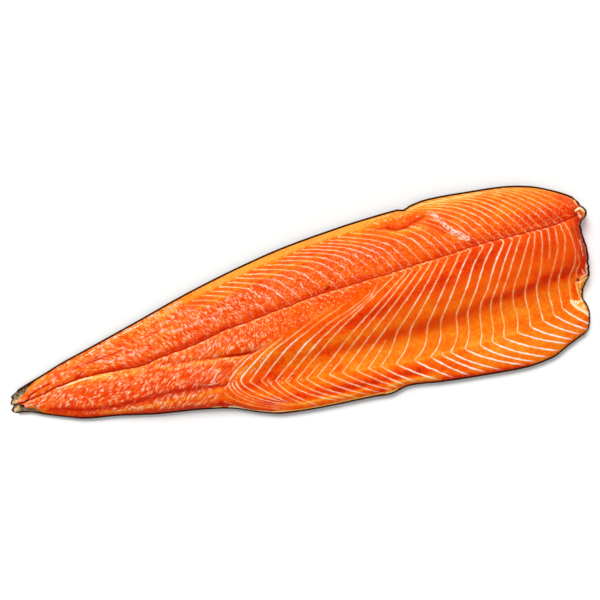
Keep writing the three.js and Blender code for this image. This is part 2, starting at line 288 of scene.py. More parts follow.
# Flake lines of the back, counted from the tail: (line, x where it crosses LOIN_CROSSING). They stand
# widest apart behind the middle and closest near the head.
LOIN_CROSSING = 60
LOIN_COUNT = 36
loin_line = curve([
    (0, -70), (3, -20), (6, 27), (9, 61), (13, 99), (16, 133), (20, 164), (25, 204), (30, 242),
    (34, 272), (35, 283),
])
# Spacing of the lines that go on behind the first one and ahead of the last one.
BELLY_SPACING = (10, 9)
BACK_SPACING = (12.5, 8)
ALWAYS_RISING = 1e-4  # a push that keeps the lines' order where they meet
# How far back towards the tail a line of the back runs per millimetre of height, from the lateral
# line (0) to the vertex line (1), at some x.
RUNS = {
    -240: [(0, -1.6), (0.35, -1.8), (0.7, -1.5), (1, -0.6)],
    -120: [(0, -0.9), (0.15, -0.5), (0.35, 0.4), (0.58, 1.2), (0.8, 2.2), (1, 2.9)],
    -40: [(0, 0.3), (0.3, 0.7), (0.47, 1), (0.58, 1.35), (0.68, 1.85), (0.79, 2.4), (1, 3.1)],
    20: [(0, 0.6), (0.3, 0.7), (0.47, 0.9), (0.58, 1.35), (0.68, 1.9), (0.79, 2.4), (1, 2.9)],
    100: [(0, 0.4), (0.35, 0.6), (0.5, 1), (0.7, 1.7), (0.85, 2), (1, 2.2)],
    180: [(0, 0.6), (0.2, 0.65), (0.4, 0.7), (0.62, 1.07), (0.84, 1.48), (0.95, 2.2), (1, 3)],
}
RUN_STRIP = 4.4  # how far forward it runs above the vertex line, up to x = 60
RUN_STEPS = 100


# ---- Plan: rows and stations over the outline --------------------------------------------------------

def even_inset(amount):
    return lambda x: amount + 0 * x


def plan(rows, stations, insets, tail_end, inside=0):
    """Points of the rows from the tail to the head. A row gives y from x and both edges."""
    belly, back = insets

    def edges(x):
        return belly_edge(x) + belly(x), back_edge(x) - back(x)

    def share(row, x):
        low, high = edges(x)
        return np.clip((row(x, low, high) - low) / (high - low), 0, 1)

    along = np.linspace(0, 1, stations + 1)
    near_tail = np.clip(1 - along / END_SHARE, 0, 1)
    near_head = np.clip(1 - (1 - along) / END_SHARE, 0, 1)
    fray = noise(3)
    grid = []
    for row in rows:
        start = tail_end(share(row, TAIL_TIP + TAIL_READ))
        end = np.array(float(END_BASE))
        for _ in range(4):
            at_head = row(end, *edges(end))
            end = head_end(at_head)
        end = end - head_ledge(at_head) * inside + HEAD_FRAY * (fray(at_head / 3, 0) - 0.5)
        x = mix(-END_BASE, END_BASE, along)
        x = x + (start + END_BASE) * near_tail + (end - END_BASE) * near_head
        low, high = edges(x)
        grid.append(np.stack([x, row(x, low, high), low, high, np.full_like(x, end)]))
    return np.stack(grid, axis=1)  # (x, y, low, high, end), rows, stations


def plain_row(share):
    return lambda x, low, high: mix(low, high, share)


def flap_row(share):
    return lambda x, low, high: mix(low, np.maximum(low, flap_line(x)), share)


def wall_row(share):
    return lambda x, low, high: mix(np.maximum(low, flap_line(x)), lateral_line(x), share)


def back_row(share):
    return lambda x, low, high: mix(lateral_line(x), high, share)


def crowded(count):
    """Shares from 0 to 1 that crowd where they start, for a round shoulder."""
    return np.linspace(0, 1, count) ** 1.6


def round_shares(steps):
    """Shares from 0 to 1 that crowd at both ends, as a circle's points do seen from above."""
    return (np.sin(np.linspace(-math.pi / 2, math.pi / 2, steps + 1)) + 1) / 2


# ---- Heights -----------------------------------------------------------------------------------------

def shoulder(distance, radius):
    """A quarter circle: 0 at an edge and 1 from the radius on."""
    return np.sqrt(1 - (1 - np.clip(distance / radius, 0, 1)) ** 2)


def tray_height(x, y, low, high, floor):
    """A floor that curves up to the rims along both edges."""
    across = 2 * (y - low) / (high - low) - 1
    rim = np.where(across > 0, back_rim(x), belly_rim(x))
    share = np.clip((np.abs(across) - 1 + BILGE) / BILGE, 0, 1)
    return mix(floor, rim, 1 - np.sqrt(1 - share**2))


def lateral_wander(x):
    """The lateral line isn't quite smooth: each flake tugs at it."""
    return 0.45 * noise(11)(x / 4.5, 0.3) + 0.5 * noise(12)(x / 17, 0.7)


def off_lower_groove(x, y):
    """Distance above the lower groove, which isn't quite smooth either."""
    return y - lower_groove(x) - 0.6 * noise(13)(x / 6, 0.1)


# Depth of each groove: of its wide dip, and of the cut at its bottom.
lateral_depth = curve([(-300, 0.4), (-250, 0.9), (-80, 0.8), (-20, 0.5), (300, 0.5)])
lateral_cut = curve([(-292, 0.2), (-250, 0.9), (-160, 1.8), (-60, 1.6), (0, 1), (300, 0.8)])
lower_depth = curve([(-260, 0), (-180, 0.7), (-100, 1.4), (-65, 2), (-30, 0)])
lower_cut = curve([(-160, 0), (-120, 0.7), (-95, 1.4), (-75, 2.2), (-55, 1.8), (-35, 0)])

# Bumps and dents of the top: path, width and height.
RELIEF = [
    ([(100, 81), (119, 81.5), (137, 82)], 6, 1.6),  # the lip of the back fin's seat
    ([(97, 76), (104, 74.5), (112, 71), (120, 70), (127, 72), (135, 74.5), (142, 77)], 1.6, -1.4),
    ([(140, 64), (150, 55), (160, 50), (170, 46)], 5, -1),
    ([(146, 77), (158, 66), (168, 56), (178, 46)], 4, 0.5),
    ([(-250, -18), (-240, -21), (-230, -24.5), (-215, -27), (-205, -28)], 2.2, -0.6),
    ([(-205, -28), (-190, -29.5), (-150, -28.5), (-120, -31), (-96, -34.5)], 2.2, -0.5),
    ([(-98, -34), (-92, -35), (-86, -34)], 2, -0.8),
    ([(-232, 17.5), (-205, 21), (-180, 24), (-155, 30), (-135, 34)], 1.6, -0.35),
    ([(-120, 35), (-95, 45), (-65, 52), (-40, 57), (-10, 60), (20, 64), (45, 68)], 2.5, 0.5),
    ([(-10, -73), (20, -74.5), (50, -76)], 3, 0.8),
    ([(69, -75.5), (90, -76), (112, -79)], 3, 0.9),
    ([(31, 31), (33, 31.5)], 1.6, -2),  # a pit beside the lateral line
    ([(272, -23), (275, -22)], 1.8, -2.5),  # and one by the head end
    ([(290, 47), (289, 40), (291, 34)], 1.5, -0.8),
]


def crown_height(x, y, low, high):
    """The two muscles with their grooves and the relief."""
    line = lateral_line(x)
    to_belly = (line - y) / (line - low)
    belly = mix(tail_profile(to_belly), body_profile(to_belly), ease(-110, -30, x))
    back = back_profile((y - line) / (high - line))
    height = thickness(x) * np.where(y > line, back, belly)
    off = y - line
    height = height - lateral_depth(x) * bell(off, DIP_WIDTH)
    height = height - lateral_cut(x) * bell(off - lateral_wander(x), LATERAL_CUT_WIDTH)
    off = off_lower_groove(x, y)
    height = height - lower_depth(x) * bell(off, DIP_WIDTH)
    height = height - lower_cut(x) * bell(off, LOWER_CUT_WIDTH)
    return with_strokes(height, RELIEF, x, y)


def top_height(x, y, low, high, end, crinkle):
    """The flesh's top: the crown, rounded over to the rims and to the cut face at the head end."""
    near_back = high - y < y - low
    rim = np.where(near_back, back_rim(x), belly_rim(x))
    radius = np.minimum(np.where(near_back, BACK_ROUNDING, BELLY_ROUNDING), (high - low) / 3)
    sides = shoulder(np.minimum(high - y, y - low), radius)
    head = mix(HEAD_CUT, 1, shoulder(end - x, HEAD_ROUNDING))
    crown = crown_height(x, y, low, high) + crinkle
    return mix(rim, np.maximum(rim, crown * head), sides)


# ---- Fields over the plan, kept on a grid of 1 mm ----------------------------------------------------

GRID_X = np.arange(-310.0, 311)
GRID_Y = np.arange(-100.0, 101)
GX, GY = np.meshgrid(GRID_X, GRID_Y)


def sample(field, x, y):
    """A grid's value at any points."""
    u = np.clip(x - GRID_X[0], 0, len(GRID_X) - 1.001)
    v = np.clip(y - GRID_Y[0], 0, len(GRID_Y) - 1.001)
    i, j = u.astype(int), v.astype(int)
    fu, fv = u - i, v - j
    low = mix(field[j, i], field[j, i + 1], fu)
    high = mix(field[j + 1, i], field[j + 1, i + 1], fu)
    return mix(low, high, fv)


def between(keys, levels, x):
    """Each x's level, blended from those of the keys on both sides of it."""
    keys = np.array(keys, float)
    i = np.clip(np.searchsorted(keys, x) - 1, 0, len(keys) - 2)
    share = np.clip((x - keys[i]) / (keys[i + 1] - keys[i]), 0, 1)
    low, high = (np.take_along_axis(levels, i[None] + step, 0)[0] for step in (0, 1))
    return mix(low, high, share)


def count_lines(x, lines, spacings):
    """Counts the lines up to x: a whole number on each, and fractions between."""
    behind, ahead = spacings
    count = np.interp(x, lines, np.arange(len(lines)))
    return count + np.minimum(x - lines[0], 0) / behind + np.maximum(x - lines[-1], 0) / ahead


def belly_phase():
    """The count of the belly's flake lines. Near the lateral line they hook backward."""
    start = np.arange(-190.0, 361)
    count = count_lines(start, TURNS, BELLY_SPACING)
    phase = np.empty_like(GX)
    below_line = lateral_line(GRID_X) - GRID_Y[:, None]
    deep = mix(5, 2.6, ease(100, 140, GRID_X))
    hook = 1.6 * np.clip(deep - below_line, 0, deep) * ease(10, 40, GRID_X)
    for j, y in enumerate(GRID_Y):
        rise = y - flap_line(start)
        down = np.maximum(-rise, 0)
        levels = np.stack([curve([(0, 0)] + arm)(np.maximum(rise, 0)) for arm in ARMS.values()])
        run = between(list(ARMS), levels, start)
        run = run + slope_below(start) * down + curl_below(start) * down**2
        x = np.maximum.accumulate(start + run + np.arange(len(start)) * ALWAYS_RISING)
        phase[j] = np.interp(GRID_X + hook[j], x, count)
    return phase


def back_foot(x, y):
    """Where the back's flake line through a point meets the lateral line."""
    line, vertex = lateral_line(x), vertex_line(x)
    at = np.clip((y - line) / (vertex - line), 0, 1)
    share = np.linspace(0, 1, RUN_STEPS + 1)
    runs = []
    for knots in RUNS.values():
        run = curve(knots)(share)
        total = np.concatenate([[0], np.cumsum((run[1:] + run[:-1]) / 2) / RUN_STEPS])
        runs.append(np.interp(at, share, total))
    above = np.maximum(y - vertex, 0)
    strip = RUN_STRIP * mix(1, -0.7, ease(60, 140, x))
    return x + (vertex - line) * between(list(RUNS), np.stack(runs), x) - above * strip


def back_phase():
    """The count of the back's flake lines."""
    crossings = loin_line(np.arange(LOIN_COUNT))
    feet = back_foot(crossings, np.full_like(crossings, LOIN_CROSSING))
    return count_lines(back_foot(GX, GY), feet, BACK_SPACING)


def spacing(phase):
    """Distance in millimetres between neighbouring lines."""
    down, along = np.gradient(phase)
    return np.clip(1 / np.maximum(np.hypot(down, along), 1e-3), 1, 40)


BELLY_PHASE = belly_phase()
BACK_PHASE = back_phase()
BELLY_GAP, BACK_GAP = spacing(BELLY_PHASE), spacing(BACK_PHASE)


# ---- Where things show -------------------------------------------------------------------------------

# The flesh's tone, from -1 for the reddest to 1 for the yellowest: path, width and change.
# Some strokes are painted light and shade: redder in creases and on slopes that face away from the key
# light, yellower where it catches crests and edges. The rest is the flesh's own colour.
TONE = [
    # Back half.
    ([(-288, 2), (-281, 8.5), (-270, 14), (-258, 19)], 2, 0.8),
    ([(-267, 13), (-252, 18)], 4, 0.4),
    ([(-281, 1.5), (-276, 4.3), (-268, 7), (-262, 8.3), (-257, 9.6)], 0.9, -1.1),
    ([(-272, 4), (-260, 6.5), (-248, 9.5), (-238, 11)], 1.8, 0.5),
    ([(-243, 7.5), (-237, 9.8)], 0.8, -0.6),
    ([(-234, 6.5), (-228, 9), (-221, 13)], 0.9, -0.6),
    ([(-245, 21), (-220, 27), (-160, 42), (-120, 53)], 4, 0.5),
    ([(-232, 17.5), (-215, 20), (-195, 21.5), (-172, 24.5)], 1.1, -0.9),
    ([(-158, 29), (-145, 32), (-132, 35)], 1.2, -0.7),
    ([(-235, 12), (-200, 17), (-160, 25), (-130, 33)], 9, 0.35),
    # Painted shade: the back lobe's side above the lateral line, facing away from the key light.
    ([(-230, 9), (-165, 7.5), (-140, 11), (-100, 15), (-66, 21)], 2.5, -0.6),
    ([(-50, 24), (60, 33), (150, 37)], 3, -0.35),
    ([(150, 39), (220, 42), (270, 42)], 6, -0.4),
    ([(-115, 36), (-95, 45), (-75, 49), (-50, 54.5), (-30, 57), (0, 62), (20, 64), (45, 68)], 1.3, 0.5),
    ([(0, 66), (50, 72)], 5, -0.35),
    ([(-142, 30), (-118, 50)], 7, 0.3),
    ([(-200, 15), (-178, 15)], 5, 0.2),
    ([(-125, 30), (-114, 34)], 5, 0.25),
    ([(40, 60), (75, 60), (110, 56)], 8, -0.25),
    ([(100, 86), (118, 84), (145, 82)], 6, -0.15),
    ([(76, 78), (96, 78)], 4, 0.2),
    ([(140, 87), (200, 84), (260, 74), (285, 62)], 3, 0.15),
    # Painted shade on the flank of the back fin seat's lip, and painted light on the edge below its crease.
    ([(104, 76.5), (120, 73.5), (135, 76)], 3, -0.3),
    ([(106, 68), (118, 67), (130, 67), (140, 65)], 2.5, 0.6),
    ([(145, 72), (152, 62), (160, 54)], 4, -0.3),
    ([(158, 54), (166, 49), (173, 45)], 1.8, 0.8),
    ([(240, 50), (262, 49), (285, 46)], 9, -0.35),
    ([(215, 64), (245, 62)], 7, 0.2),
    ([(289, 44), (288, 34), (286, 20), (287, 0), (282, -14)], 6, -0.8),
    ([(281, 24), (282, 2)], 6, -0.45),
    ([(294, 43), (294.5, 38)], 2.2, 1.3),
    # Belly half.
    ([(-254, 1.5), (-240, 1), (-225, 2.5)], 2, 0.5),
    ([(-281, -10), (-275, -12.5), (-269, -16)], 1.2, 0.9),
    ([(-262, -15), (-250, -18), (-240, -20.5), (-230, -24.5), (-215, -27), (-203, -28)], 2.4, -0.9),
    ([(-215, 2), (-190, 1), (-165, -1)], 4, 0.9),
    ([(-153, 1), (-145, -3), (-138, -5), (-120, -6.5), (-95, -9)], 1.6, 0.9),
    ([(-240, -14), (-190, -18), (-150, -20), (-110, -24)], 9, -0.35),
    # Painted shade in the belly's crease, and painted light on the slope below it, which faces the key
    # light.
    ([(-203, -28.5), (-190, -29.3), (-150, -29), (-120, -30.5), (-98, -32)], 4.2, -1),
    ([(-215, -30.5), (-195, -34), (-170, -36), (-150, -37.3), (-120, -38.3), (-95, -38.3)], 2.4, 0.9),
    ([(-240, -30), (-200, -37), (-170, -42), (-150, -45), (-120, -49), (-98, -52.5)], 3, -0.7),
    ([(-98, -52), (-85, -56), (-75, -62), (-60, -69), (-50, -72)], 2.5, -0.7),
    ([(-72, -42), (-60, -42), (-56, -40)], 3.5, -0.5),
    ([(-60, -51), (-56, -55)], 3, 0.4),
    ([(-56, -61), (-38, -64), (-20, -64), (10, -66), (45, -69), (75, -68), (100, -69)], 5, -0.8),
    ([(10, -66), (60, -70), (125, -72), (150, -75)], 5, -0.3),
    ([(-45, -36), (-38, -31), (-28, -26)], 3.5, -0.5),
    ([(-92, -10), (-78, -12), (-64, -13)], 2, 0.6),
    ([(-98, -27), (-86, -25)], 4, -0.3),
    ([(-72, -27), (-58, -23), (-45, -17), (-35, -12)], 6, 0.6),
    ([(-20, -27), (10, -27), (30, -26)], 4, -0.15),
    ([(15, 6), (38, 9)], 6, 0.3),
    ([(-40, -41), (-36, -40)], 3, -0.5),
    ([(50, -79), (60, -79)], 2, -0.6),
    ([(10, -15), (50, -5), (100, 3), (135, 10), (180, 20)], 8, -0.5),
    ([(50, -7), (90, 2)], 6, -0.35),
    ([(0, -16), (30, -16), (45, -22)], 8, 0.3),
    # Painted shade on the belly wall's band, whose slope faces away from the key light.
    ([(10, -28), (60, -28), (100, -28), (150, -25), (200, -19), (240, -15), (265, -11), (285, -4)],
     6, -0.55),
    ([(185, -20), (210, -19), (240, -15), (262, -11)], 4, -0.5),
    ([(130, -8), (180, -6), (225, -1)], 7, -0.25),
    ([(35, -50), (65, -53), (115, -56), (200, -54)], 6, 0.35),
    ([(-20, -48), (12, -50.5), (65, -55.4), (115, -59), (200, -56.6)], 1.3, 0.4),
    ([(30, -38), (70, -43), (160, -42), (240, -38)], 7, 0.3),
    ([(-48, -42), (-35, -40), (-15, -40)], 6, -0.3),
    ([(165, -72), (210, -74), (235, -67)], 14, 0.4),
    ([(122, -84), (160, -88), (205, -91)], 3, -0.9),
    # Painted highlight along the crest of the belly's fold.
    ([(-45, -66), (-30, -70), (-16, -72), (0, -72.5), (10, -73), (20, -74.5), (29, -76)], 1.2, 0.9),
    ([(29, -76), (38, -73.5), (48, -72)], 0.9, 0.8),
    ([(68, -76.5), (80, -75), (95, -76.5), (112, -79.5)], 1.7, 1.1),
    ([(52, -77), (62, -79)], 2.5, -0.5),
    ([(-30, -75), (0, -78)], 2, -0.3),
    ([(-5, -77), (40, -78)], 2.5, -0.3),
    ([(185, 26), (215, 21), (245, 17)], 11, -0.5),
    ([(130, 4), (180, 6), (225, 5)], 7, -0.15),
    ([(262, 26), (262, 4)], 18, -0.35),
    ([(274, 4), (276, -10)], 7, -0.5),
    ([(235, -8), (262, -13), (278, -12)], 5, -0.5),
    ([(276, -21), (280, -25), (276, -34), (270, -46)], 3, 1),
    ([(268, -26), (268, -36)], 3, -0.5),
]
# Brown, dull patches, most of them on the belly wall. There they are partly the flesh's own duller colour
# and partly painted shade, on its slope that faces away from the key light.
DULL = [
    ([(30, -29), (70, -30)], 5, 0.4),
    ([(75, -30), (130, -29), (165, -25)], 7, 0.75),
    ([(165, -25), (190, -20), (240, -16)], 6, 0.65),
    ([(130, -8), (180, -6), (215, -3)], 8, 0.3),
    ([(190, 14), (240, 12), (275, 12)], 13, 0.55),
    ([(80, -4), (125, 1), (165, 5), (200, 6)], 8, 0.4),
    ([(282, 27), (284, 3)], 7, 1),
    ([(205, -1), (275, -4)], 8, 0.55),
    ([(262, 32), (284, 24)], 6, 0.35),
    ([(277, 60), (286, 54), (288, 47)], 5.5, 0.6),
]
# Cream fat, and a few painted highlights in its colours.
FAT_AND_HIGHLIGHTS = [
    # Along the tail's lateral line, just under it: cream fat, and also a painted highlight on the groove's
    # lit lower edge.
    ([(-240, 3.9), (-230, 5.1), (-222, 5.6), (-214, 5.2)], 1.1, 0.85),
    ([(-214, 4.5), (-205, 4.2), (-196, 3.5)], 2.4, 0.5),
    ([(-295, -1), (-291, -1)], 0.6, 0.5),
    ([(-107, -53.2), (-98, -54.6)], 0.6, 0.6),
    ([(-91, -57), (-86, -58), (-80, -60.8)], 0.9, 1.1),
    ([(-80, -60.8), (-68, -66.5), (-50, -72.6), (-38, -74.8)], 0.7, 0.8),
    ([(-38, -74.8), (-20, -77.5), (5, -79.3), (35, -80.5), (60, -81.5)], 0.7, 0.6),
    ([(62, -82.5), (68, -82.8), (74, -81.5)], 1.2, 0.6),
    ([(265, -44), (270, -48), (274, -51)], 2.4, 0.42),
    ([(261.5, -39.5), (265, -41.5), (269, -43.5), (273, -43)], 1, 1.4),
    ([(262, -41.5), (265, -47), (269, -51), (273, -54.5), (275, -58)], 1.1, 1.4),
    ([(272.2, -48.3), (273.2, -47.7)], 1.3, 1.2),
    ([(274.5, -24.5), (278, -23.5), (283, -21.5)], 1.3, 0.6),
    ([(284.5, -19), (286, -13), (287, -9)], 0.9, 0.6),
    ([(271.3, -26), (270.5, -32), (271.3, -40)], 0.6, 0.9),
    ([(275, -24), (273.5, -30), (274, -35)], 0.7, 0.7),
    ([(288, 45), (290, 46), (292.5, 46.5), (295, 45), (296.5, 42)], 1.1, 1.2),
    ([(289.5, 55), (290.5, 51)], 0.8, 0.8),
    ([(130, 87), (142, 88.6), (158, 88.3), (180, 86.5), (203, 84.8)], 0.6, 0.75),
    ([(88, 85.8), (97, 86.4), (110, 86.6)], 0.6, 0.6),
    # Painted highlights on the lit edge below the crease of the back fin's seat.
    ([(130, 69.5), (136, 67.3)], 0.7, 0.7),
    ([(112, 69), (120, 68), (127, 66.5)], 0.6, 0.6),
]
# Small pale dots just inside the turns of some flake lines.
PEARLS = [
    (-33, -42.5), (-36.5, -44.5), (-34, -47), (-24, -45), (-26.5, -46.5), (-15.5, -48.5), (-13.8, -50),
    (-22, -41), (16.5, -42.5), (17, -52.5), (-44, -44), (-74, -27.5), (-71.3, -27), (-69, -25.8),
    (-66.5, -23.5), (-64, -22.3), (-61.5, -29), (-59.3, -27.8), (-56.8, -26.6), (-49.3, -21), (-46, -18.8),
    (-42, -16.2), (-57.5, -16), (-79, -33), (-76.5, -31),
]
# Pinkish white threads, and some painted highlights.
PEARLY = [
    ([(271.5, -23), (273.5, -24.5), (275.5, -23), (276, -20.5), (280, -19), (284, -18)], 0.8, 1.1),
    ([(284, -18), (284.5, -15), (284, -12), (286, -8)], 1, 1.1),
    ([(279.8, -13), (281, -17.5)], 0.8, 0.9),
    ([(284.5, 16), (284.5, 8), (284, 0)], 0.6, 0.9),
    ([(289.8, 42), (291, 37.5)], 1.3, 1),
    # Under the tail's lateral line: a thread, and also a painted highlight on the groove's lit lower edge.
    ([(-251, 3.3), (-246, 3.2), (-240, 4), (-228, 5.2), (-216, 5.4)], 1, 0.9),
    # The tail's tip.
    ([(-286, -6.3), (-283, -6), (-278, -6)], 0.6, 1),
    ([(-282.5, -2.8), (-280, -2.3)], 0.7, 0.7),
    ([(-278, 2), (-274, 3.2), (-272.5, 2.8)], 0.6, 0.8),
    ([(-274.3, -8.7), (-273.3, -8.6)], 0.8, 1.2),
    ([(-264, -1.5), (-258, 0.8)], 0.8, 0.8),
    ([(-255.5, -3), (-253, -2.5)], 0.9, 0.9),
    ([(-263.5, 15.5), (-260.5, 17)], 0.7, 0.7),
    # Where the belly's flake lines begin.
    ([(-91, -38.5), (-87, -36), (-84, -34)], 0.9, 0.7),
    ([(-86, -38.5), (-83, -36)], 0.7, 0.7),
    ([(-81.5, -40.7), (-81, -39.5)], 0.7, 0.8),
    ([(-105, -30.5), (-101, -31), (-97.5, -29.5)], 0.7, 0.8),
    ([(-101.5, -29), (-98, -26.5), (-95, -22.5), (-91, -19)], 1.3, 0.75),
    ([(-107, -41), (-102.5, -41)], 0.7, 0.8),
    ([(-103.5, -47), (-101, -44.5), (-98, -41.5)], 0.6, 0.6),
    ([(-95, -41), (-95, -46)], 0.5, 0.6),
    ([(-89, -42.5), (-89, -44.5)], 0.7, 0.7),
    # Above and below the crease of the back fin's seat: painted highlights on the lip and on the lit edge
    # below the crease.
    ([(93, 83), (96.5, 80.5)], 0.7, 0.9),
    ([(103.3, 82.4), (104.7, 82)], 0.8, 0.9),
    ([(109.3, 81.7), (110, 82)], 0.6, 0.8),
    ([(114, 82), (116.5, 80.3)], 0.5, 0.8),
    ([(118.5, 81.8), (121, 83.5)], 0.6, 0.8),
    ([(121.6, 77.5), (122.2, 78.7)], 0.6, 0.9),
    ([(129, 83.4), (131, 81.6)], 0.5, 0.8),
    ([(134.6, 78.6), (136.3, 78.2)], 0.7, 0.9),
    ([(124.5, 70.5), (129, 70.3)], 0.6, 0.9),
    ([(141, 72.5), (142, 71)], 0.5, 0.7),
]
# Rows of short pale dashes beside both edges of the tail.
DASHES = [
    ([(-200, -32.8), (-180, -34.8), (-150, -36)], 0.55, 0.9),
    ([(-217, 27.3), (-205, 31.2), (-195, 34), (-182, 37.8), (-168, 40.8), (-152, 44.5)], 0.7, 1),
    ([(-212, 23), (-198, 27.5), (-186, 32)], 0.6, 0.7),
    ([(-150, 40), (-136, 45), (-124, 50)], 0.6, 0.7),
]
# Deep red creases: painted shade in them.
DARK = [
    ([(92, 76.6), (104, 75)], 0.9, 0.6),
    ([(103, 75), (110, 71.6), (115, 70.4), (124, 71)], 0.9, 1.05),
    ([(124, 71), (131, 73), (142, 76.7)], 0.7, 0.75),
    ([(30, 30.5), (34, 32)], 1.3, 1.1),
    ([(-96, -34), (-92, -35), (-88, -34.3)], 1, 1.05),
    ([(-88, -34.3), (-85, -32.5)], 0.8, 0.7),
    ([(-79, -8.3), (-70, -9.2), (-62, -10), (-56, -10.2)], 1.3, 0.95),
    ([(-250, -18), (-240, -21), (-230, -24.5), (-215, -27), (-203, -28)], 1.5, 0.5),
    ([(-203, -28), (-190, -29.5), (-150, -28.5), (-120, -31), (-96, -34)], 1.3, 0.5),
    ([(-292, -2.2), (-286, -1.7), (-281, -0.8)], 0.8, 1.7),
    ([(-281, -0.8), (-276, -0.2), (-268, 0.6)], 0.6, 1.15),
    ([(-281, 0.5), (-276, 4.3), (-268, 7), (-258, 9.6)], 0.6, 0.75),
    ([(-228, 18.2), (-215, 20), (-195, 21.5), (-180, 23.5)], 0.6, 0.4),
    ([(273, -21.5), (274.5, -22.5)], 1.1, 1.5),
    ([(288, 46), (288, 40), (289, 34)], 0.8, 0.5),
]
# By the back fin's seat a painted highlight: a glossy streak painted as shiny pink membrane. In the tail,
# pink hazes of membrane.
FILM_AND_HIGHLIGHT = [
    ([(142, 80), (147, 78), (151, 74)], 3.6, 0.5),
    ([(151, 76), (157, 68), (161, 61), (169, 54), (178, 45)], 3.2, 1),
    ([(163, 56), (168, 50), (172, 47)], 2.8, 0.8),
    ([(-200, 17), (-180, 16), (-155, 20)], 5, 0.6),
    ([(-128, 28), (-100, 32), (-72, 36)], 5, 0.55),
    ([(-126, 51), (-112, 55)], 4, 0.6),
    ([(-264, 12), (-232, 16)], 4, 0.5),
    ([(-106, 4), (-68, 8)], 5, 0.55),
]
# The skin's tail tip: golden dry places, and the cleft between its two points, painted near black as shade
# in it.
GOLD = [
    ([(-296, 0.5), (-290, 1), (-287, 4)], 2.2, 1),
    ([(-297, -7.5), (-293, -5)], 2, 1),
]
CLEFT = [([(-300, -2.5), (-295, -2.2), (-285, -1)], 1, 1)]


def pearls(x, y):
    """The dots of PEARLS."""
    dots = [np.exp(-((x - px) ** 2 + (y - py) ** 2) / 0.8) for px, py in PEARLS]
    return np.maximum.reduce(dots)


def dashes(x, y):
    """The rows of DASHES, broken about every 6 mm."""
    turn = 2 * math.pi * x / 6 + 4 * noise(51)(x / 9, y / 3)
    return painted(DASHES, x, y) * ease(-0.6, 0.4, np.sin(turn))


def hooks(x, y):
    """Short pale strokes below the lateral line, where the back's flakes seem to bend over it."""
    chance = np.random.default_rng(5)
    total = np.zeros_like(x)
    starts = np.arange(8, 122, 6.9)
    for start in starts + chance.uniform(-1.3, 1.3, len(starts)):
        top = float(lateral_line(start)) - 1.5
        size, strength = chance.uniform(2.5, 5), chance.uniform(0.55, 1)
        total = np.maximum(total, strength * stroke([(start, top), (start + size, top - size)], 0.85, x, y))
    return total


def tone(x, y):
    """How yellow (to 1) or red (to -1) the flesh is, painted light and shade included."""
    above = y > lateral_line(x)
    strip = ease(vertex_line(x) - 2.5, vertex_line(x) + 3, y) * ease(-200, -70, x)
    strip = strip * mix(0.85, 0.5, ease(60, 180, x)) * ease(288, 262, x)
    clean = 0.2 * ease(-120, -60, x) * ease(46, 62, y) * mix(1, 0.4, ease(10, 60, x) * ease(80, 70, y))
    back = -0.15 + strip + clean + 0.1 * ease(20, 80, x)
    belly = mix(-0.1, 0.2, ease(-60, -20, x) * ease(0, -30, y - 0.15 * x))
    return np.clip(with_strokes(np.where(above, back, belly), TONE, x, y), -1.2, 1.2)


# The wrinkled zone of the back ends at this y; the belly's begins above this one.
wrinkled_back = curve([
    (-300, 62), (-130, 62), (-112, 57), (-98, 47), (-90, 46), (-50, 54), (0, 61), (45, 66), (140, 70),
])
wrinkled_belly = curve([
    (-300, -60), (-120, -60), (-92, -40), (-84, -30), (-76, -22), (-68, -13.5), (-60, -10.5), (-45, -7.5),
    (-30, -3.5), (20, 9), (60, 18), (110, 29),
])

# Smooth places of the membrane: along creases, and where the belly's first flakes show.
CALM = [
    ([(-262, -15), (-240, -21), (-215, -26)], 3.4, 0.9),
    ([(-215, -26), (-190, -27.5), (-150, -27), (-120, -29), (-98, -33)], 3.2, 0.75),
    ([(-120, -22), (-100, -22)], 8, 0.4),
    ([(-250, 6), (-235, 8), (-165, 7), (-140, 11), (-100, 16), (-66, 21.5), (0, 29), (150, 38)], 4, 0.9),
    ([(-280, 6), (-262, 4), (-262, 12)], 6, 0.5),
    ([(-228, 18.2), (-215, 20), (-195, 21.5), (-180, 23.5)], 1.2, 0.8),
    ([(-158, 29), (-145, 32), (-132, 35)], 1.2, 0.8),
    ([(-110, -6), (-80, -9), (-55, -11), (-42, -9)], 2, 0.9),
    ([(-265, -20), (-240, -28), (-215, -33)], 3, 0.8),
    ([(-98, -38), (-90, -44), (-88, -52)], 7, 0.8),
    ([(-100, -27), (-84, -26)], 5.5, 0.75),
]


def wrinkled(x, y):
    """How much the wet membrane wrinkles."""
    back = ease(wrinkled_back(x) + 1, wrinkled_back(x) - 6, y) * mix(1, 0.2, ease(-60, 20, x))
    back = back * ease(170, 60, x)
    belly = ease(wrinkled_belly(x) - 2, wrinkled_belly(x) + 4, y) * mix(1, 0.2, ease(-60, -10, x))
    belly = belly * ease(70, 0, x) * ease(3, 7, y - belly_edge(x))
    return np.where(y > lateral_line(x), back, belly) * (1 - painted(CALM, x, y))


def specked(x, y):
    """How many pale dots, painted glints, there are."""
    back = ease(wrinkled_back(x), wrinkled_back(x) - 16, y) * ease(-50, 15, x)
    back = back * mix(0.6, 0.3, ease(60, 140, x))
    belly = ease(wrinkled_belly(x) - 2, wrinkled_belly(x) + 4, y) * ease(-75, -35, x) * ease(80, 30, x)
    return np.where(y > lateral_line(x), back, 0.8 * belly) * (1 - 0.6 * painted(CALM, x, y))


# Lean of the wrinkles below and above the lateral line, in degrees clockwise from straight across.
LEAN_BELOW = [(-300, 69), (-240, 67), (-180, 63), (-130, 57), (-100, 48), (-50, 0), (0, -45)]
LEAN_ABOVE = [(-300, 67), (-240, 80), (-200, 112), (-165, 145), (-120, 152), (-90, 138), (0, 141)]


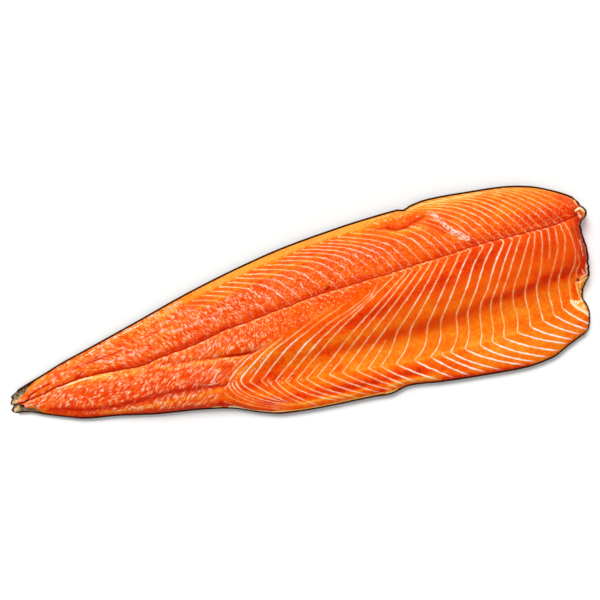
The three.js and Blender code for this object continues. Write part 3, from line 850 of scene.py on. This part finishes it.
def wrinkle_frame(x, y):
    """Coordinates in millimetres across and along the wrinkles."""
    rise = y - lateral_line(x)
    frames = []
    for table in (LEAN_BELOW, LEAN_ABOVE):
        turn = np.radians(polyline(table)(GRID_X))
        paces = [np.interp(x, GRID_X, np.cumsum(part)) for part in (np.cos(turn), np.sin(turn))]
        turn = np.interp(x, GRID_X, turn)
        frames.append((paces[0] - np.sin(turn) * rise, paces[1] + np.cos(turn) * rise))
    below, above = frames
    return np.where(rise > 0, above, below)


def crinkles(x, y):
    """Height from -1 to 1 of the coarser wrinkles, in the mesh itself."""
    across, along = wrinkle_frame(x, y)
    fine = noise(22)(across / 2.8, along / 6)
    coarse = noise(23)(x / 8, y / 5)
    return np.clip(0.9 * fine + 0.5 * coarse, -1, 1)


# Where the back fin's seat hides the back's flake lines.
FIN_SEAT = [
    ([(94, 81), (112, 79), (128, 79), (139, 81)], 7, 1),
    ([(100, 76), (114, 72), (126, 73), (140, 77)], 3, 1),
    ([(140, 66), (150, 60), (160, 53), (168, 48)], 5, 0.8),
]


def back_show(x, y):
    """How clearly the back's flake lines show."""
    vertex = vertex_line(x)
    ripple = ease(wrinkled_back(x) + 1, wrinkled_back(x) - 5, y)
    show = ease(-118, -85, x) * mix(1, mix(0.6, 0.95, ease(-80, -30, x)), ripple)
    show = show * mix(1, 0.3, ease(vertex - 1, vertex + 1.5, y) * ease(120, 60, x))
    show = show * mix(1, 0.3, ease(10, 3, y - lateral_line(x)) * ease(115, 85, x))
    for path, wide, hidden in FIN_SEAT:
        show = show * (1 - hidden * stroke(path, wide, x, y))
    return show * mix(1, 0.3, ease(262, 284, x))


def belly_show(x, y, phase, gap):
    """How clearly the belly's flake lines show."""
    rise = y - flap_line(x)
    start = wrinkled_belly(x) + mix(3, 1, ease(20, 60, x)) + 15 * ease(72, 98, x)
    open_fan = np.maximum(ease(1.5, 3, gap), ease(3, 8, rise) * ease(-86, -80, x))
    fan = ease(start, start - 8, y) * ease(-96, -86, x) * open_fan
    feather = 0.35 * ease(-132, -118, x) * ease(-62, -72, x) * ease(-1, 3, rise)
    feather = feather * ease(0, -4, y - lower_groove(x))
    fan = np.maximum(fan, feather)
    show = np.maximum(fan, ease(112, 135, x))
    for turn, (low, high) in PARTIAL.items():
        index = TURNS.index(turn)
        hidden = ease(high, high + 3, rise) + ease(low, low - 3, rise)
        show = show * (1 - hidden * (np.abs(phase - index) < 0.5))
    show = show * mix(1, 0.25, ease(276, 282, x))
    return show * ease(2, 8, y - belly_edge(x))


# Where flake lines are wide and white.
BOLD = [
    ([(165, 8), (205, 20)], 15, 0.9),
    ([(-78, -30), (-50, -22), (-25, -17), (5, -16)], 9, 0.95),
    ([(-82, -31), (-75, -25), (-66, -20), (-58, -15.5)], 3, 0.9),
    ([(60, 4), (90, 14)], 9, 0.1),
    ([(-10, 48), (15, 50), (45, 52)], 9, 0.45),
    ([(0, -24), (-40, -36)], 8, 0.35),
    ([(90, -47), (125, -45)], 7, 0.6),
    ([(-70, 58), (-20, 66)], 5, 0.2),
    ([(240, 24), (272, 22)], 12, 0.3),
    ([(75, 56), (95, 52), (125, 53), (150, 52)], 10, 0.5),
    ([(180, 64), (220, 62), (250, 56)], 11, 0.35),
    ([(112, -4), (150, -4), (185, 0)], 13, 0.55),
    ([(115, -56), (150, -58), (205, -54), (235, -48)], 6, 0.5),
    ([(226, -30), (243, -36)], 9, 0.5),
]


def bold(x, y):
    """How wide and white the flake lines are: all the flap's are a little."""
    rise = y - flap_line(x)
    return np.maximum.reduce([
        painted(BOLD, x, y),
        ease(0, -5, rise) * ease(50, 100, x),
        0.1 * ease(0, -5, rise),
        0.2 * ease(-40, 10, x) * ease(14, 2, y - 0.15 * x) * ease(190, 140, x),
    ])


# Where they are dull.
FAINT = [
    ([(-94, -44), (-80, -50), (-56, -66)], 8, 0.85),
    ([(10, 1), (40, 6), (64, 13)], 7, 0.8),
    ([(-42, -6), (-24, -1), (0, 6)], 5, 0.6),
]


def faint(x, y):
    """How dull or broken the flake lines are."""
    head = ease(225, 250, x) * ease(-32, -16, y) * ease(34, 20, y)
    low = ease(20, 8, y - lateral_line(x))
    loin = mix(0.25, 0.8, low) * ease(30, 90, x) * (y > lateral_line(x))
    loin = loin + 0.4 * ease(225, 245, x) * (y > lateral_line(x))
    return np.clip(with_strokes(0.6 * painted(DULL, x, y) + 0.55 * head + loin, FAINT, x, y), 0, 1)


# How dark the painted shade in each groove is, and how clearly light catches the lateral line's lower edge.
lateral_dark = polyline([(-294, 0.8), (-280, 1), (-60, 1), (40, 0.75), (282, 0.85), (288, 0)])
lower_dark = polyline([(-165, 0), (-110, 0.3), (-86, 0.6), (-78, 1), (-62, 1), (-46, 0)])
lateral_glow = polyline([(-290, 0.2), (-250, 1), (130, 1), (190, 0.3)])


# ---- Meshes ------------------------------------------------------------------------------------------

def strip_faces(a, b):
    """Quads between two equal rows of vertex numbers, and triangles where they share one."""
    faces = []
    for p, q, r, s in zip(a[:-1], a[1:], b[1:], b[:-1]):
        ring = list(dict.fromkeys((int(p), int(q), int(r), int(s))))
        if len(ring) > 2:
            faces.append(ring)
    return faces


def sheet(rows, flip=False):
    """Faces between each row of vertex numbers and the next."""
    faces = []
    for a, b in zip(rows[:-1], rows[1:]):
        faces += strip_faces(b, a) if flip else strip_faces(a, b)
    return faces


def zipper(a, b, places):
    """Triangles between two rows with different numbers of vertices, matched by y."""
    faces = []
    i = j = 0
    while i < len(a) - 1 or j < len(b) - 1:
        ahead_a = places[a[min(i + 1, len(a) - 1)]][1]
        ahead_b = places[b[min(j + 1, len(b) - 1)]][1]
        if j == len(b) - 1 or (i < len(a) - 1 and ahead_a <= ahead_b):
            ring = [int(a[i]), int(a[i + 1]), int(b[j])]
            i += 1
        else:
            ring = [int(a[i]), int(b[j + 1]), int(b[j])]
            j += 1
        if len(set(ring)) == 3:
            faces.append(ring)
    return faces


class Net:
    """The vertices and faces of a piece as they are made, and how far down a cut each vertex is."""

    def __init__(self):
        self.blocks, self.depths, self.faces = [], [], []
        self.count = 0

    def add(self, block, depth=0.0):
        """Adds points and returns their numbers, in the same rows."""
        number = np.arange(block[..., 0].size).reshape(block.shape[:-1]) + self.count
        self.blocks.append(block.reshape(-1, 3))
        self.depths.append(np.full(number.size, depth))
        self.count += number.size
        return number

    def places(self):
        return np.concatenate(self.blocks)

    def piece(self, name, material):
        """The object, in the scene."""
        mesh = bpy.data.meshes.new(name)
        mesh.from_pydata((self.places() * MM).tolist(), [], self.faces)
        mesh.polygons.foreach_set("use_smooth", np.ones(len(self.faces), bool))
        mesh.materials.append(material)
        mesh.update()
        return put_in_scene(name, mesh)


def put_in_scene(name, data):
    thing = bpy.data.objects.new(name, data)
    bpy.context.collection.objects.link(thing)
    return thing


def store(piece, fields):
    """Keeps a number of each field at each vertex, for the material."""
    for name, values in fields.items():
        layer = piece.data.attributes.new(name, "FLOAT", "POINT")
        layer.data.foreach_set("value", np.asarray(values, np.float32))


def surface(grid, height):
    """Points over a plan."""
    return np.stack([grid[0], grid[1], height], -1)


def flesh_plan(rows):
    return plan(rows, STATIONS, (belly_inset, back_inset), flesh_tail_end, inside=1)


def flesh_top():
    """The plan and the points of the flesh's cut top."""
    rows = [flap_row(share) for share in crowded(FLAP_ROWS)]
    rows += [wall_row(share) for share in np.linspace(0, 1, WALL_ROWS)[1:]]
    rows += [back_row(share) for share in np.sort(1 - crowded(BACK_ROWS))[1:]]
    grid = flesh_plan(rows)
    x, y = grid[:2]
    return grid, surface(grid, top_height(*grid, WRINKLE_HEIGHT * wrinkled(x, y) * crinkles(x, y)))


def flesh_floor(grid):
    return tray_height(*grid[:4], SKIN_THICKNESS + GAP)


def close_end(net, edge, base, upper, below, at_head):
    """The cut face between the top's edge and the underside's. At the head end it is rough."""
    levels = [upper]
    for level in range(1, CUT_LEVELS + 1):
        share = level / CUT_LEVELS
        points = edge[1:-1].copy()
        points[:, 2] = mix(edge[1:-1, 2], base[1:-1], share)
        bulge = math.sin(math.pi * share) * (0.4 if at_head else -0.3)
        rough = 0.5 * noise(31)(points[:, 1] / 3, points[:, 2] / 3) if at_head else 0
        points[:, 0] += bulge + rough
        levels.append(np.concatenate([upper[:1], net.add(points, share), upper[-1:]]))
    net.faces += sheet(levels, flip=at_head)
    closing = zipper(levels[-1], below, net.places())
    net.faces += [face[::-1] for face in closing] if at_head else closing


def flesh_piece(material):
    """A closed mesh of the cut top, the underside and the cut faces at both ends."""
    net = Net()
    grid, top = flesh_top()
    upper = net.add(top)
    under_grid = flesh_plan([plain_row(share) for share in round_shares(UNDER_ROWS)])
    under = surface(under_grid, flesh_floor(under_grid))
    below = np.vstack([upper[:1], net.add(under[1:-1]), upper[-1:]])
    net.faces += sheet(upper) + sheet(below, flip=True)
    for column, at_head in ((0, False), (STATIONS, True)):
        base = flesh_floor(grid[:, :, column])
        close_end(net, top[:, column], base, upper[:, column], below[:, column], at_head)
    piece = net.piece("salmon_flesh", material)
    paint_fields(piece, *net.places().T[:2], np.concatenate(net.depths))
    return piece


def paint_fields(piece, x, y, depth):
    """What the flesh's material reads. The strokes end a little way down a cut face."""
    upper = ease(0.4, 0.1, depth)
    phase, gap = sample(BELLY_PHASE, x, y), sample(BELLY_GAP, x, y)
    across, along = wrinkle_frame(x, y)
    store(piece, {
        "side": y - lateral_line(x) - lateral_wander(x),
        "lower_side": off_lower_groove(x, y),
        "lower_depth": lower_dark(x),
        "groove_depth": lateral_dark(x),
        "side_glow": lateral_glow(x),
        "back_phase": sample(BACK_PHASE, x, y),
        "back_gap": sample(BACK_GAP, x, y),
        "back_show": back_show(x, y) * upper,
        "belly_phase": phase,
        "belly_gap": gap,
        "belly_show": belly_show(x, y, phase, gap) * upper,
        "bold": bold(x, y),
        "faint": faint(x, y),
        "tone": tone(x, y),
        "wrinkled": wrinkled(x, y),
        "specked": specked(x, y),
        "shaggy": ease(-110, -80, x),
        "across": across,
        "along": along,
        "fat": painted(FAT_AND_HIGHLIGHTS, x, y) * upper,
        "pearl": np.maximum(pearls(x, y), painted(PEARLY, x, y)) * upper,
        "dashes": np.maximum(dashes(x, y), 0.8 * hooks(x, y)),
        "dark": painted(DARK, x, y) * upper,
        "film_and_highlight": painted(FILM_AND_HIGHLIGHT, x, y),
        "dull": painted(DULL, x, y),
        "rim": np.minimum(y - belly_edge(x), back_edge(x) - y),
    })


def skin_piece(material):
    """A tray of even thickness, whose inside ripples at the tail's tip."""
    net = Net()
    rows = [plain_row(share) for share in round_shares(SKIN_ROWS)]
    outer, inner = (
        plan(rows, SKIN_STATIONS, [even_inset(inset)] * 2, skin_tail_end) for inset in (0, SKIN_THICKNESS)
    )
    ripple = 0.35 * noise(41)(outer[0] / 5, outer[1] / 3) * ease(-262, -285, outer[0])
    low = net.add(surface(outer, tray_height(*outer[:4], 0)))
    high = net.add(surface(inner, tray_height(*inner[:4], SKIN_THICKNESS) + ripple))
    net.faces += sheet(low, flip=True) + sheet(high)
    net.faces += strip_faces(low[0], high[0]) + strip_faces(high[-1], low[-1])
    net.faces += strip_faces(high[:, 0], low[:, 0]) + strip_faces(low[:, -1], high[:, -1])
    piece = net.piece("salmon_skin", material)
    x, y = net.places().T[:2]
    end = skin_tail_end((y - belly_edge(x)) / (back_edge(x) - belly_edge(x)))
    store(piece, {
        "tip": ease(-255, -266, x),
        "gold": painted(GOLD, x, y),
        "cleft": painted(CLEFT, x, y),
        "rim": np.minimum.reduce([y - belly_edge(x), back_edge(x) - y, x - end]),
    })
    return piece


# ---- Materials ---------------------------------------------------------------------------------------

def rgb(red, green, blue):
    """A colour given as the eye sees it, from 0 to 255, as the shader's linear numbers."""
    value = np.array([red, green, blue]) / 255
    linear = np.where(value < 0.04045, value / 12.92, ((value + 0.055) / 1.055) ** 2.4)
    return (*linear.tolist(), 1)


class Shader:
    """A node material built with short calls. Sockets and plain values mix freely."""

    def __init__(self, name):
        self.material = bpy.data.materials.new(name)
        self.material.use_nodes = True
        self.tree = self.material.node_tree
        self.surface = self.tree.nodes["Principled BSDF"].inputs

    def put(self, socket, value):
        if isinstance(value, bpy.types.NodeSocket):
            self.tree.links.new(value, socket)
        else:
            socket.default_value = value

    def node(self, kind, inputs, **settings):
        """A new node. Its inputs are given by name or by number."""
        node = self.tree.nodes.new("ShaderNode" + kind)
        for name, value in settings.items():
            setattr(node, name, value)
        for name, value in inputs.items():
            self.put(node.inputs[name], value)
        return node

    def finish(self, colour, roughness, height, specular, distance, strength):
        """Sets the surface. The bumps are height times distance high, in millimetres."""
        bump = {"Height": height, "Distance": distance * MM, "Strength": strength}
        self.put(self.surface["Base Color"], colour)
        self.put(self.surface["Roughness"], roughness)
        self.put(self.surface["Specular IOR Level"], specular)
        self.put(self.surface["Normal"], self.node("Bump", bump).outputs[0])
        return self.material

    def field(self, name):
        """What the mesh stores under a name."""
        return self.node("Attribute", {}, attribute_name=name).outputs["Fac"]

    def math(self, operation, *values):
        """The operation over two or more values, from the left."""
        total = values[0]
        for value in values[1:]:
            total = self.node("Math", {0: total, 1: value}, operation=operation).outputs[0]
        return total

    def add(self, *values):
        return self.math("ADD", *values)

    def times(self, *values):
        return self.math("MULTIPLY", *values)

    def most(self, *values):
        return self.math("MAXIMUM", *values)

    def least(self, *values):
        return self.math("MINIMUM", *values)

    def off(self, value):
        """Distance from 0."""
        return self.node("Math", {0: value}, operation="ABSOLUTE").outputs[0]

    def lerp(self, a, b, factor):
        return self.node("Mix", {"Factor": factor, "A": a, "B": b}).outputs["Result"]

    def tint(self, under, over, factor):
        """A colour over another. In this node's lists, 0, 6, 7 and 2 are the sockets for colours."""
        return self.node("Mix", {0: factor, 6: under, 7: over}, data_type="RGBA").outputs[2]

    def ramp(self, value, low, high):
        """0 below low and 1 above high, smooth between. Low may be the larger."""
        inputs = {"Value": value, "From Min": low, "From Max": high}
        return self.node("MapRange", inputs, interpolation_type="SMOOTHSTEP").outputs[0]

    def place(self):
        """The point's place in millimetres."""
        point = self.node("TexCoord", {}).outputs["Object"]
        return self.node("VectorMath", {0: point, "Scale": 1 / MM}, operation="SCALE").outputs[0]

    def noise(self, place, size, detail):
        """Noise with features about size millimetres across, from 0 to 1."""
        inputs = {"Vector": place, "Scale": 1 / size, "Detail": detail}
        return self.node("TexNoise", inputs).outputs["Fac"]

    def sway(self, place, size, detail):
        """The same from -0.5 to 0.5."""
        return self.add(self.noise(place, size, detail), -0.5)

    def cells(self, place, size):
        """Distance from each cell's middle, and a random number for each cell."""
        inputs = {"Vector": place, "Scale": 1 / size}
        cell = self.node("TexVoronoi", inputs, voronoi_dimensions="2D").outputs
        return cell["Distance"], self.node("SeparateColor", {0: cell["Color"]}).outputs[0]

    def spots(self, distance, radius, soft):
        """1 nearer than a radius, with a soft edge on both sides of it."""
        return self.ramp(distance, self.add(radius, soft), self.add(radius, -soft))

    def scale(self, value, stops):
        """The colours of the stops, blended, at a value from -1 to 1."""
        node = self.node("ValToRGB", {0: self.add(self.times(value, 0.5), 0.5)})
        elements = node.color_ramp.elements
        for position, colour in stops[1:-1]:
            elements.new((position + 1) / 2).color = rgb(*colour)
        elements[0].color = rgb(*stops[0][1])
        elements[-1].color = rgb(*stops[-1][1])
        return node.outputs[0]


FLESH_TONES = [  # from the reddest flesh to the yellowest
    (-1, (204, 36, 0)), (-0.5, (238, 62, 1)), (0, (250, 94, 6)), (0.5, (252, 126, 16)), (1, (253, 158, 44)),
]


def flake_lines(s, place, rough):
    """Distance to the nearest flake line, and how clearly that line shows."""
    is_back = s.math("GREATER_THAN", s.field("side"), 0.0)
    phase, gap, show = (
        s.lerp(s.field("belly_" + name), s.field("back_" + name), is_back)
        for name in ("phase", "gap", "show")
    )
    fraction = s.node("Math", {0: s.add(phase, 0.5)}, operation="FRACT").outputs[0]
    signed = s.times(s.add(fraction, -0.5), gap)
    return s.off(s.add(signed, s.times(s.sway(place, 4.5, 2), s.lerp(1.2, 6, rough)))), show


def add_wrinkles(s, colour, place, off):
    """Folds of the wet membrane: salmon pink, with pale crests that are partly the membrane's own colour
    and partly painted highlight, and red between them as painted shade in the hollows. Also their height.
    """
    near = s.lerp(0.6, 1.0, s.ramp(off, 5.5, 2))
    mask = s.times(s.field("wrinkled"), s.lerp(1.0, near, s.field("shaggy")))
    across = s.add(s.field("across"), s.times(s.sway(place, 6, 1), 6))
    along = s.add(s.field("along"), s.times(s.sway(place, 9, 1), 6))
    fold, crest = 0.0, 0.0
    for shift, size, squeeze, share in ((0, 2.2, 0.34, 1.0), (47, 2.4, 0.26, 0.6)):
        spot = {0: s.add(across, shift), 1: s.times(s.add(along, shift), squeeze)}
        distance, chance = s.cells(s.node("CombineXYZ", spot).outputs[0], size)
        fold = s.most(fold, s.times(s.ramp(distance, 0.52, 0.32), s.lerp(0.3, share, chance)))
        grains = s.spots(distance, s.lerp(0.1, 0.23, chance), 0.08)
        crest = s.most(crest, s.times(grains, s.ramp(chance, 0.25, 0.5)))
    patches = s.ramp(s.noise(place, 6, 2), 0.42, 0.6)
    # Painted shade: red in the hollows between the folds.
    colour = s.tint(colour, rgb(238, 60, 2), s.times(s.ramp(fold, 0.4, 0.05), 0.65, mask))
    colour = s.tint(colour, rgb(252, 142, 84), s.times(mask, fold, s.lerp(0.3, 0.8, patches)))
    # The pale crests: painted highlight, partly the membrane's own pale colour.
    pale = s.tint(rgb(252, 176, 116), rgb(254, 208, 180), patches)
    colour = s.tint(colour, pale, s.times(mask, crest, s.lerp(0.75, 1.0, patches)))
    return colour, s.times(s.add(s.times(fold, 0.5), s.times(crest, 0.5)), mask)


def add_specks(s, colour, place):
    """Small pale dots: painted glints of the wet surface."""
    distance, chance = s.cells(place, 3.1)
    dot = s.spots(distance, s.lerp(0.12, 0.28, chance), 0.07)
    strength = s.times(dot, s.ramp(chance, 0.25, 0.45), s.field("specked"), 0.95)
    return s.tint(colour, rgb(253, 184, 122), strength)


def add_flake_lines(s, colour, place, off, show, rough):
    """Pale lines of fat between the flakes, with a yellow glow beside them."""
    bold, faint = s.field("bold"), s.field("faint")
    half = s.add(s.lerp(0.3, 0.6, bold), s.times(s.sway(place, 6, 1), 1.1), s.times(faint, -0.12))
    core = s.ramp(off, s.add(half, 0.45), s.add(half, -0.35))
    gaps = s.ramp(s.noise(place, 3.2, 2), s.lerp(0.3, 0.44, rough), s.lerp(0.46, 0.55, rough))
    broken = s.lerp(1.0, gaps, s.most(s.times(faint, 0.8), rough))
    line = s.times(core, show, broken, s.lerp(1.0, 0.6, faint))
    glow = s.times(s.ramp(off, 2.6, 0.6), show, s.lerp(0.2, 0.0, rough))
    colour = s.tint(colour, rgb(253, 144, 30), glow)
    pale = s.tint(rgb(252, 190, 154), rgb(252, 198, 122), s.ramp(s.field("tone"), -0.5, 0.3))
    pale = s.tint(pale, rgb(254, 240, 226), bold)
    pale = s.tint(pale, rgb(254, 224, 204), rough)
    return s.tint(colour, pale, line), line


def add_grooves(s, colour, place):
    """The lateral line and the groove below it, with a painted highlight on the lit edge under each, and
    painted shade in them and in the creases, deep red and near black where strongest.
    """
    jag = s.times(s.sway(place, 2.5, 2), 1.6)
    cuts, edges = [], []
    for side, depth, glow, wide, edge_at, edge_wide in (
        ("side", "groove_depth", "side_glow", 1.15, 1.9, 1.1),
        ("lower_side", "lower_depth", "lower_depth", 1.4, 2.2, 1.3),
    ):
        off = s.add(s.field(side), jag)
        cuts.append(s.times(s.ramp(s.off(off), wide, 0.2), s.field(depth)))
        edges.append(s.times(s.ramp(s.off(s.add(off, edge_at)), edge_wide, 0.2), s.field(glow)))
    edge, patches = s.most(*edges), s.noise(place, 4, 2)
    # Painted highlight on each groove's lit lower edge.
    colour = s.tint(colour, rgb(254, 160, 62), s.times(edge, s.ramp(patches, 0.3, 0.6), 0.7))
    colour = s.tint(colour, rgb(254, 214, 170), s.times(edge, s.ramp(patches, 0.55, 0.66), 0.8))
    # Painted shade, deep red, in the grooves and creases; near black where it is strongest.
    dark = s.most(s.field("dark"), s.most(*cuts))
    colour = s.tint(colour, rgb(188, 22, 0), s.least(s.times(dark, 1.1), 0.95))
    return s.tint(colour, rgb(60, 10, 2), s.ramp(dark, 1.0, 1.35))


def add_fat_and_highlights(s, colour, place):
    """Cream fat, golden round its edges, and a few painted highlights in the same colours."""
    fat = s.add(s.field("fat"), s.times(s.sway(place, 2.2, 2), 0.7))
    colour = s.tint(colour, rgb(253, 190, 88), s.ramp(fat, 0.25, 0.5))
    return s.tint(colour, rgb(254, 232, 190), s.ramp(fat, 0.5, 0.85))


def add_film_and_highlight(s, colour, place, mottle):
    """Pink membrane with white shreds. By the back fin's seat this is a painted highlight, a glossy streak.
    """
    film_and_highlight = s.ramp(s.times(s.field("film_and_highlight"), s.add(mottle, 0.25)), 0.3, 0.65)
    shreds = s.times(film_and_highlight, s.ramp(s.off(s.sway(place, 3, 1)), 0.11, 0.03), 0.95)
    colour = s.tint(colour, rgb(252, 132, 70), s.times(film_and_highlight, 0.6))
    return s.tint(colour, rgb(254, 222, 208), shreds)


def flesh_material():
    """Cured flesh in mottled orange, with everything that lies on it painted over in turn, painted light
    and shade included.
    """
    s = Shader("smoked_flesh")
    place = s.place()
    mottle, grain = s.noise(place, 3.4, 3), s.noise(place, 1.2, 2)

    tone = s.field("tone")
    for source, amount in ((s.noise(place, 15, 3), 1.1), (mottle, 1.5), (grain, 0.8)):
        tone = s.add(tone, s.times(s.add(source, -0.5), amount))
    colour = s.scale(tone, FLESH_TONES)
    # Brown where DULL is; on the belly wall partly painted shade.
    colour = s.tint(colour, rgb(196, 64, 6), s.times(s.field("dull"), s.ramp(mottle, 0.38, 0.6)))

    rough = s.least(s.times(s.most(s.field("wrinkled"), s.field("specked")), 1.5), 1.0)
    off, show = flake_lines(s, place, rough)
    colour, crest = add_wrinkles(s, colour, place, off)
    colour = add_specks(s, colour, place)
    colour, line = add_flake_lines(s, colour, place, off, show, rough)
    colour = s.tint(colour, rgb(254, 206, 176), s.times(s.ramp(s.field("pearl"), 0.25, 0.8), 0.85))
    colour = s.tint(colour, rgb(254, 214, 170), s.ramp(s.field("dashes"), 0.3, 0.75))
    colour = add_film_and_highlight(s, colour, place, mottle)
    # Brown tint within about 2 mm of the outline.
    brown_rim_tint = s.times(s.ramp(s.field("rim"), 2.3, 1.4), 0.75)
    colour = s.tint(colour, rgb(130, 38, 4), brown_rim_tint)
    colour = add_fat_and_highlights(s, add_grooves(s, colour, place), place)

    height = s.add(s.times(grain, 0.4), s.times(crest, 0.6), s.times(line, 0.25))
    roughness = s.lerp(0.42, 0.3, s.field("wrinkled"))
    return s.finish(colour, roughness, height, specular=0.04, distance=0.15, strength=0.6)


def skin_material():
    """Dark brown skin, dry and olive with gold at the tail's tip."""
    s = Shader("fish_skin")
    place = s.place()
    patch, grain = s.noise(place, 4, 3), s.noise(place, 0.9, 3)
    olive = s.tint(rgb(66, 56, 44), rgb(158, 148, 122), s.ramp(grain, 0.4, 0.62))
    olive = s.tint(olive, rgb(70, 36, 16), s.ramp(patch, 0.55, 0.68))
    gold = s.tint(rgb(222, 168, 84), rgb(250, 226, 180), s.ramp(grain, 0.42, 0.6))
    olive = s.tint(olive, gold, s.times(s.field("gold"), s.ramp(patch, 0.3, 0.5)))
    colour = s.tint(rgb(62, 25, 6), rgb(88, 44, 18), s.times(patch, 0.6))
    colour = s.tint(colour, olive, s.times(s.field("tip"), s.ramp(s.field("rim"), 1.2, 2.2)))
    # Painted shade: near black in the cleft between the tail's two points.
    colour = s.tint(colour, rgb(26, 8, 2), s.field("cleft"))
    return s.finish(colour, s.lerp(0.5, 0.7, grain), grain, specular=0.08, distance=0.5, strength=0.7)


def floor_material():
    """Almost white, and barely uneven."""
    s = Shader("pale_floor")
    shade = s.noise(s.place(), 300, 2)
    s.put(s.surface["Base Color"], s.tint(rgb(253, 253, 252), rgb(248, 248, 247), shade))
    s.put(s.surface["Roughness"], 0.9)
    s.put(s.surface["Specular IOR Level"], 0.1)
    return s.material


# ---- Scene -------------------------------------------------------------------------------------------

PICTURE_TILT = math.radians(14.5)  # the side's length rises this much to the right in the picture
VIEW_WIDTH = 591.0  # millimetres across the picture
VIEW_CENTRE = (-3.7, 27.7)  # the picture's centre from the part's, right and up in the picture
LENS = 250.0
SENSOR = 36.0
MIDDLE_HEIGHT = 15  # of the flesh, where the picture is as wide as that
SURROUND = 0.34
LIGHTS = [  # name, where it comes from, how many degrees wide, how strong
    ("key", (-0.15, 0.8, 1.0), 30, 2.45),
    ("fill", (0.5, -0.6, 1.2), 60, 0.5),
]
FLOOR_REACH = 30.0  # metres


def make_camera():
    """Straight above, far off, with its right and up turned to the picture's."""
    data = bpy.data.cameras.new("camera")
    data.lens = LENS
    data.sensor_width = SENSOR
    data.clip_end = 100
    camera = put_in_scene("camera", data)
    right = Vector((math.cos(PICTURE_TILT), -math.sin(PICTURE_TILT), 0))
    up = Vector((math.sin(PICTURE_TILT), math.cos(PICTURE_TILT), 0))
    back = right.cross(up)
    aim = right * VIEW_CENTRE[0] + up * VIEW_CENTRE[1]
    place = Matrix((right, up, back)).transposed().to_4x4()
    place.translation = (aim + back * (VIEW_WIDTH * LENS / SENSOR + MIDDLE_HEIGHT)) * MM
    camera.matrix_world = place
    bpy.context.scene.camera = camera


def make_lights():
    """A soft key light from behind the back edge, a weak fill and an even pale surround."""
    world = bpy.data.worlds.new("studio")
    world.use_nodes = True
    background = world.node_tree.nodes["Background"].inputs
    background["Color"].default_value = (1, 1, 1, 1)
    background["Strength"].default_value = SURROUND
    bpy.context.scene.world = world
    for name, towards, angle, strength in LIGHTS:
        data = bpy.data.lights.new(name, "SUN")
        data.energy = strength
        data.angle = math.radians(angle)
        light = put_in_scene(name, data)
        light.rotation_mode = "QUATERNION"
        light.rotation_quaternion = Vector(towards).to_track_quat("Z", "Y")


def make_floor():
    mesh = bpy.data.meshes.new("floor")
    corners = [(x * FLOOR_REACH, y * FLOOR_REACH, 0) for x, y in ((-1, -1), (1, -1), (1, 1), (-1, 1))]
    mesh.from_pydata(corners, [], [(0, 1, 2, 3)])
    mesh.materials.append(floor_material())
    floor = put_in_scene("floor", mesh)


def main():
    bpy.context.scene.view_settings.view_transform = "Standard"
    make_camera()
    make_lights()
    make_floor()
    flesh = flesh_piece(flesh_material())
    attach(flesh, "root")
    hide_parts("flesh")
    skin = skin_piece(skin_material())
    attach(skin, "root")
    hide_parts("skin")


main()
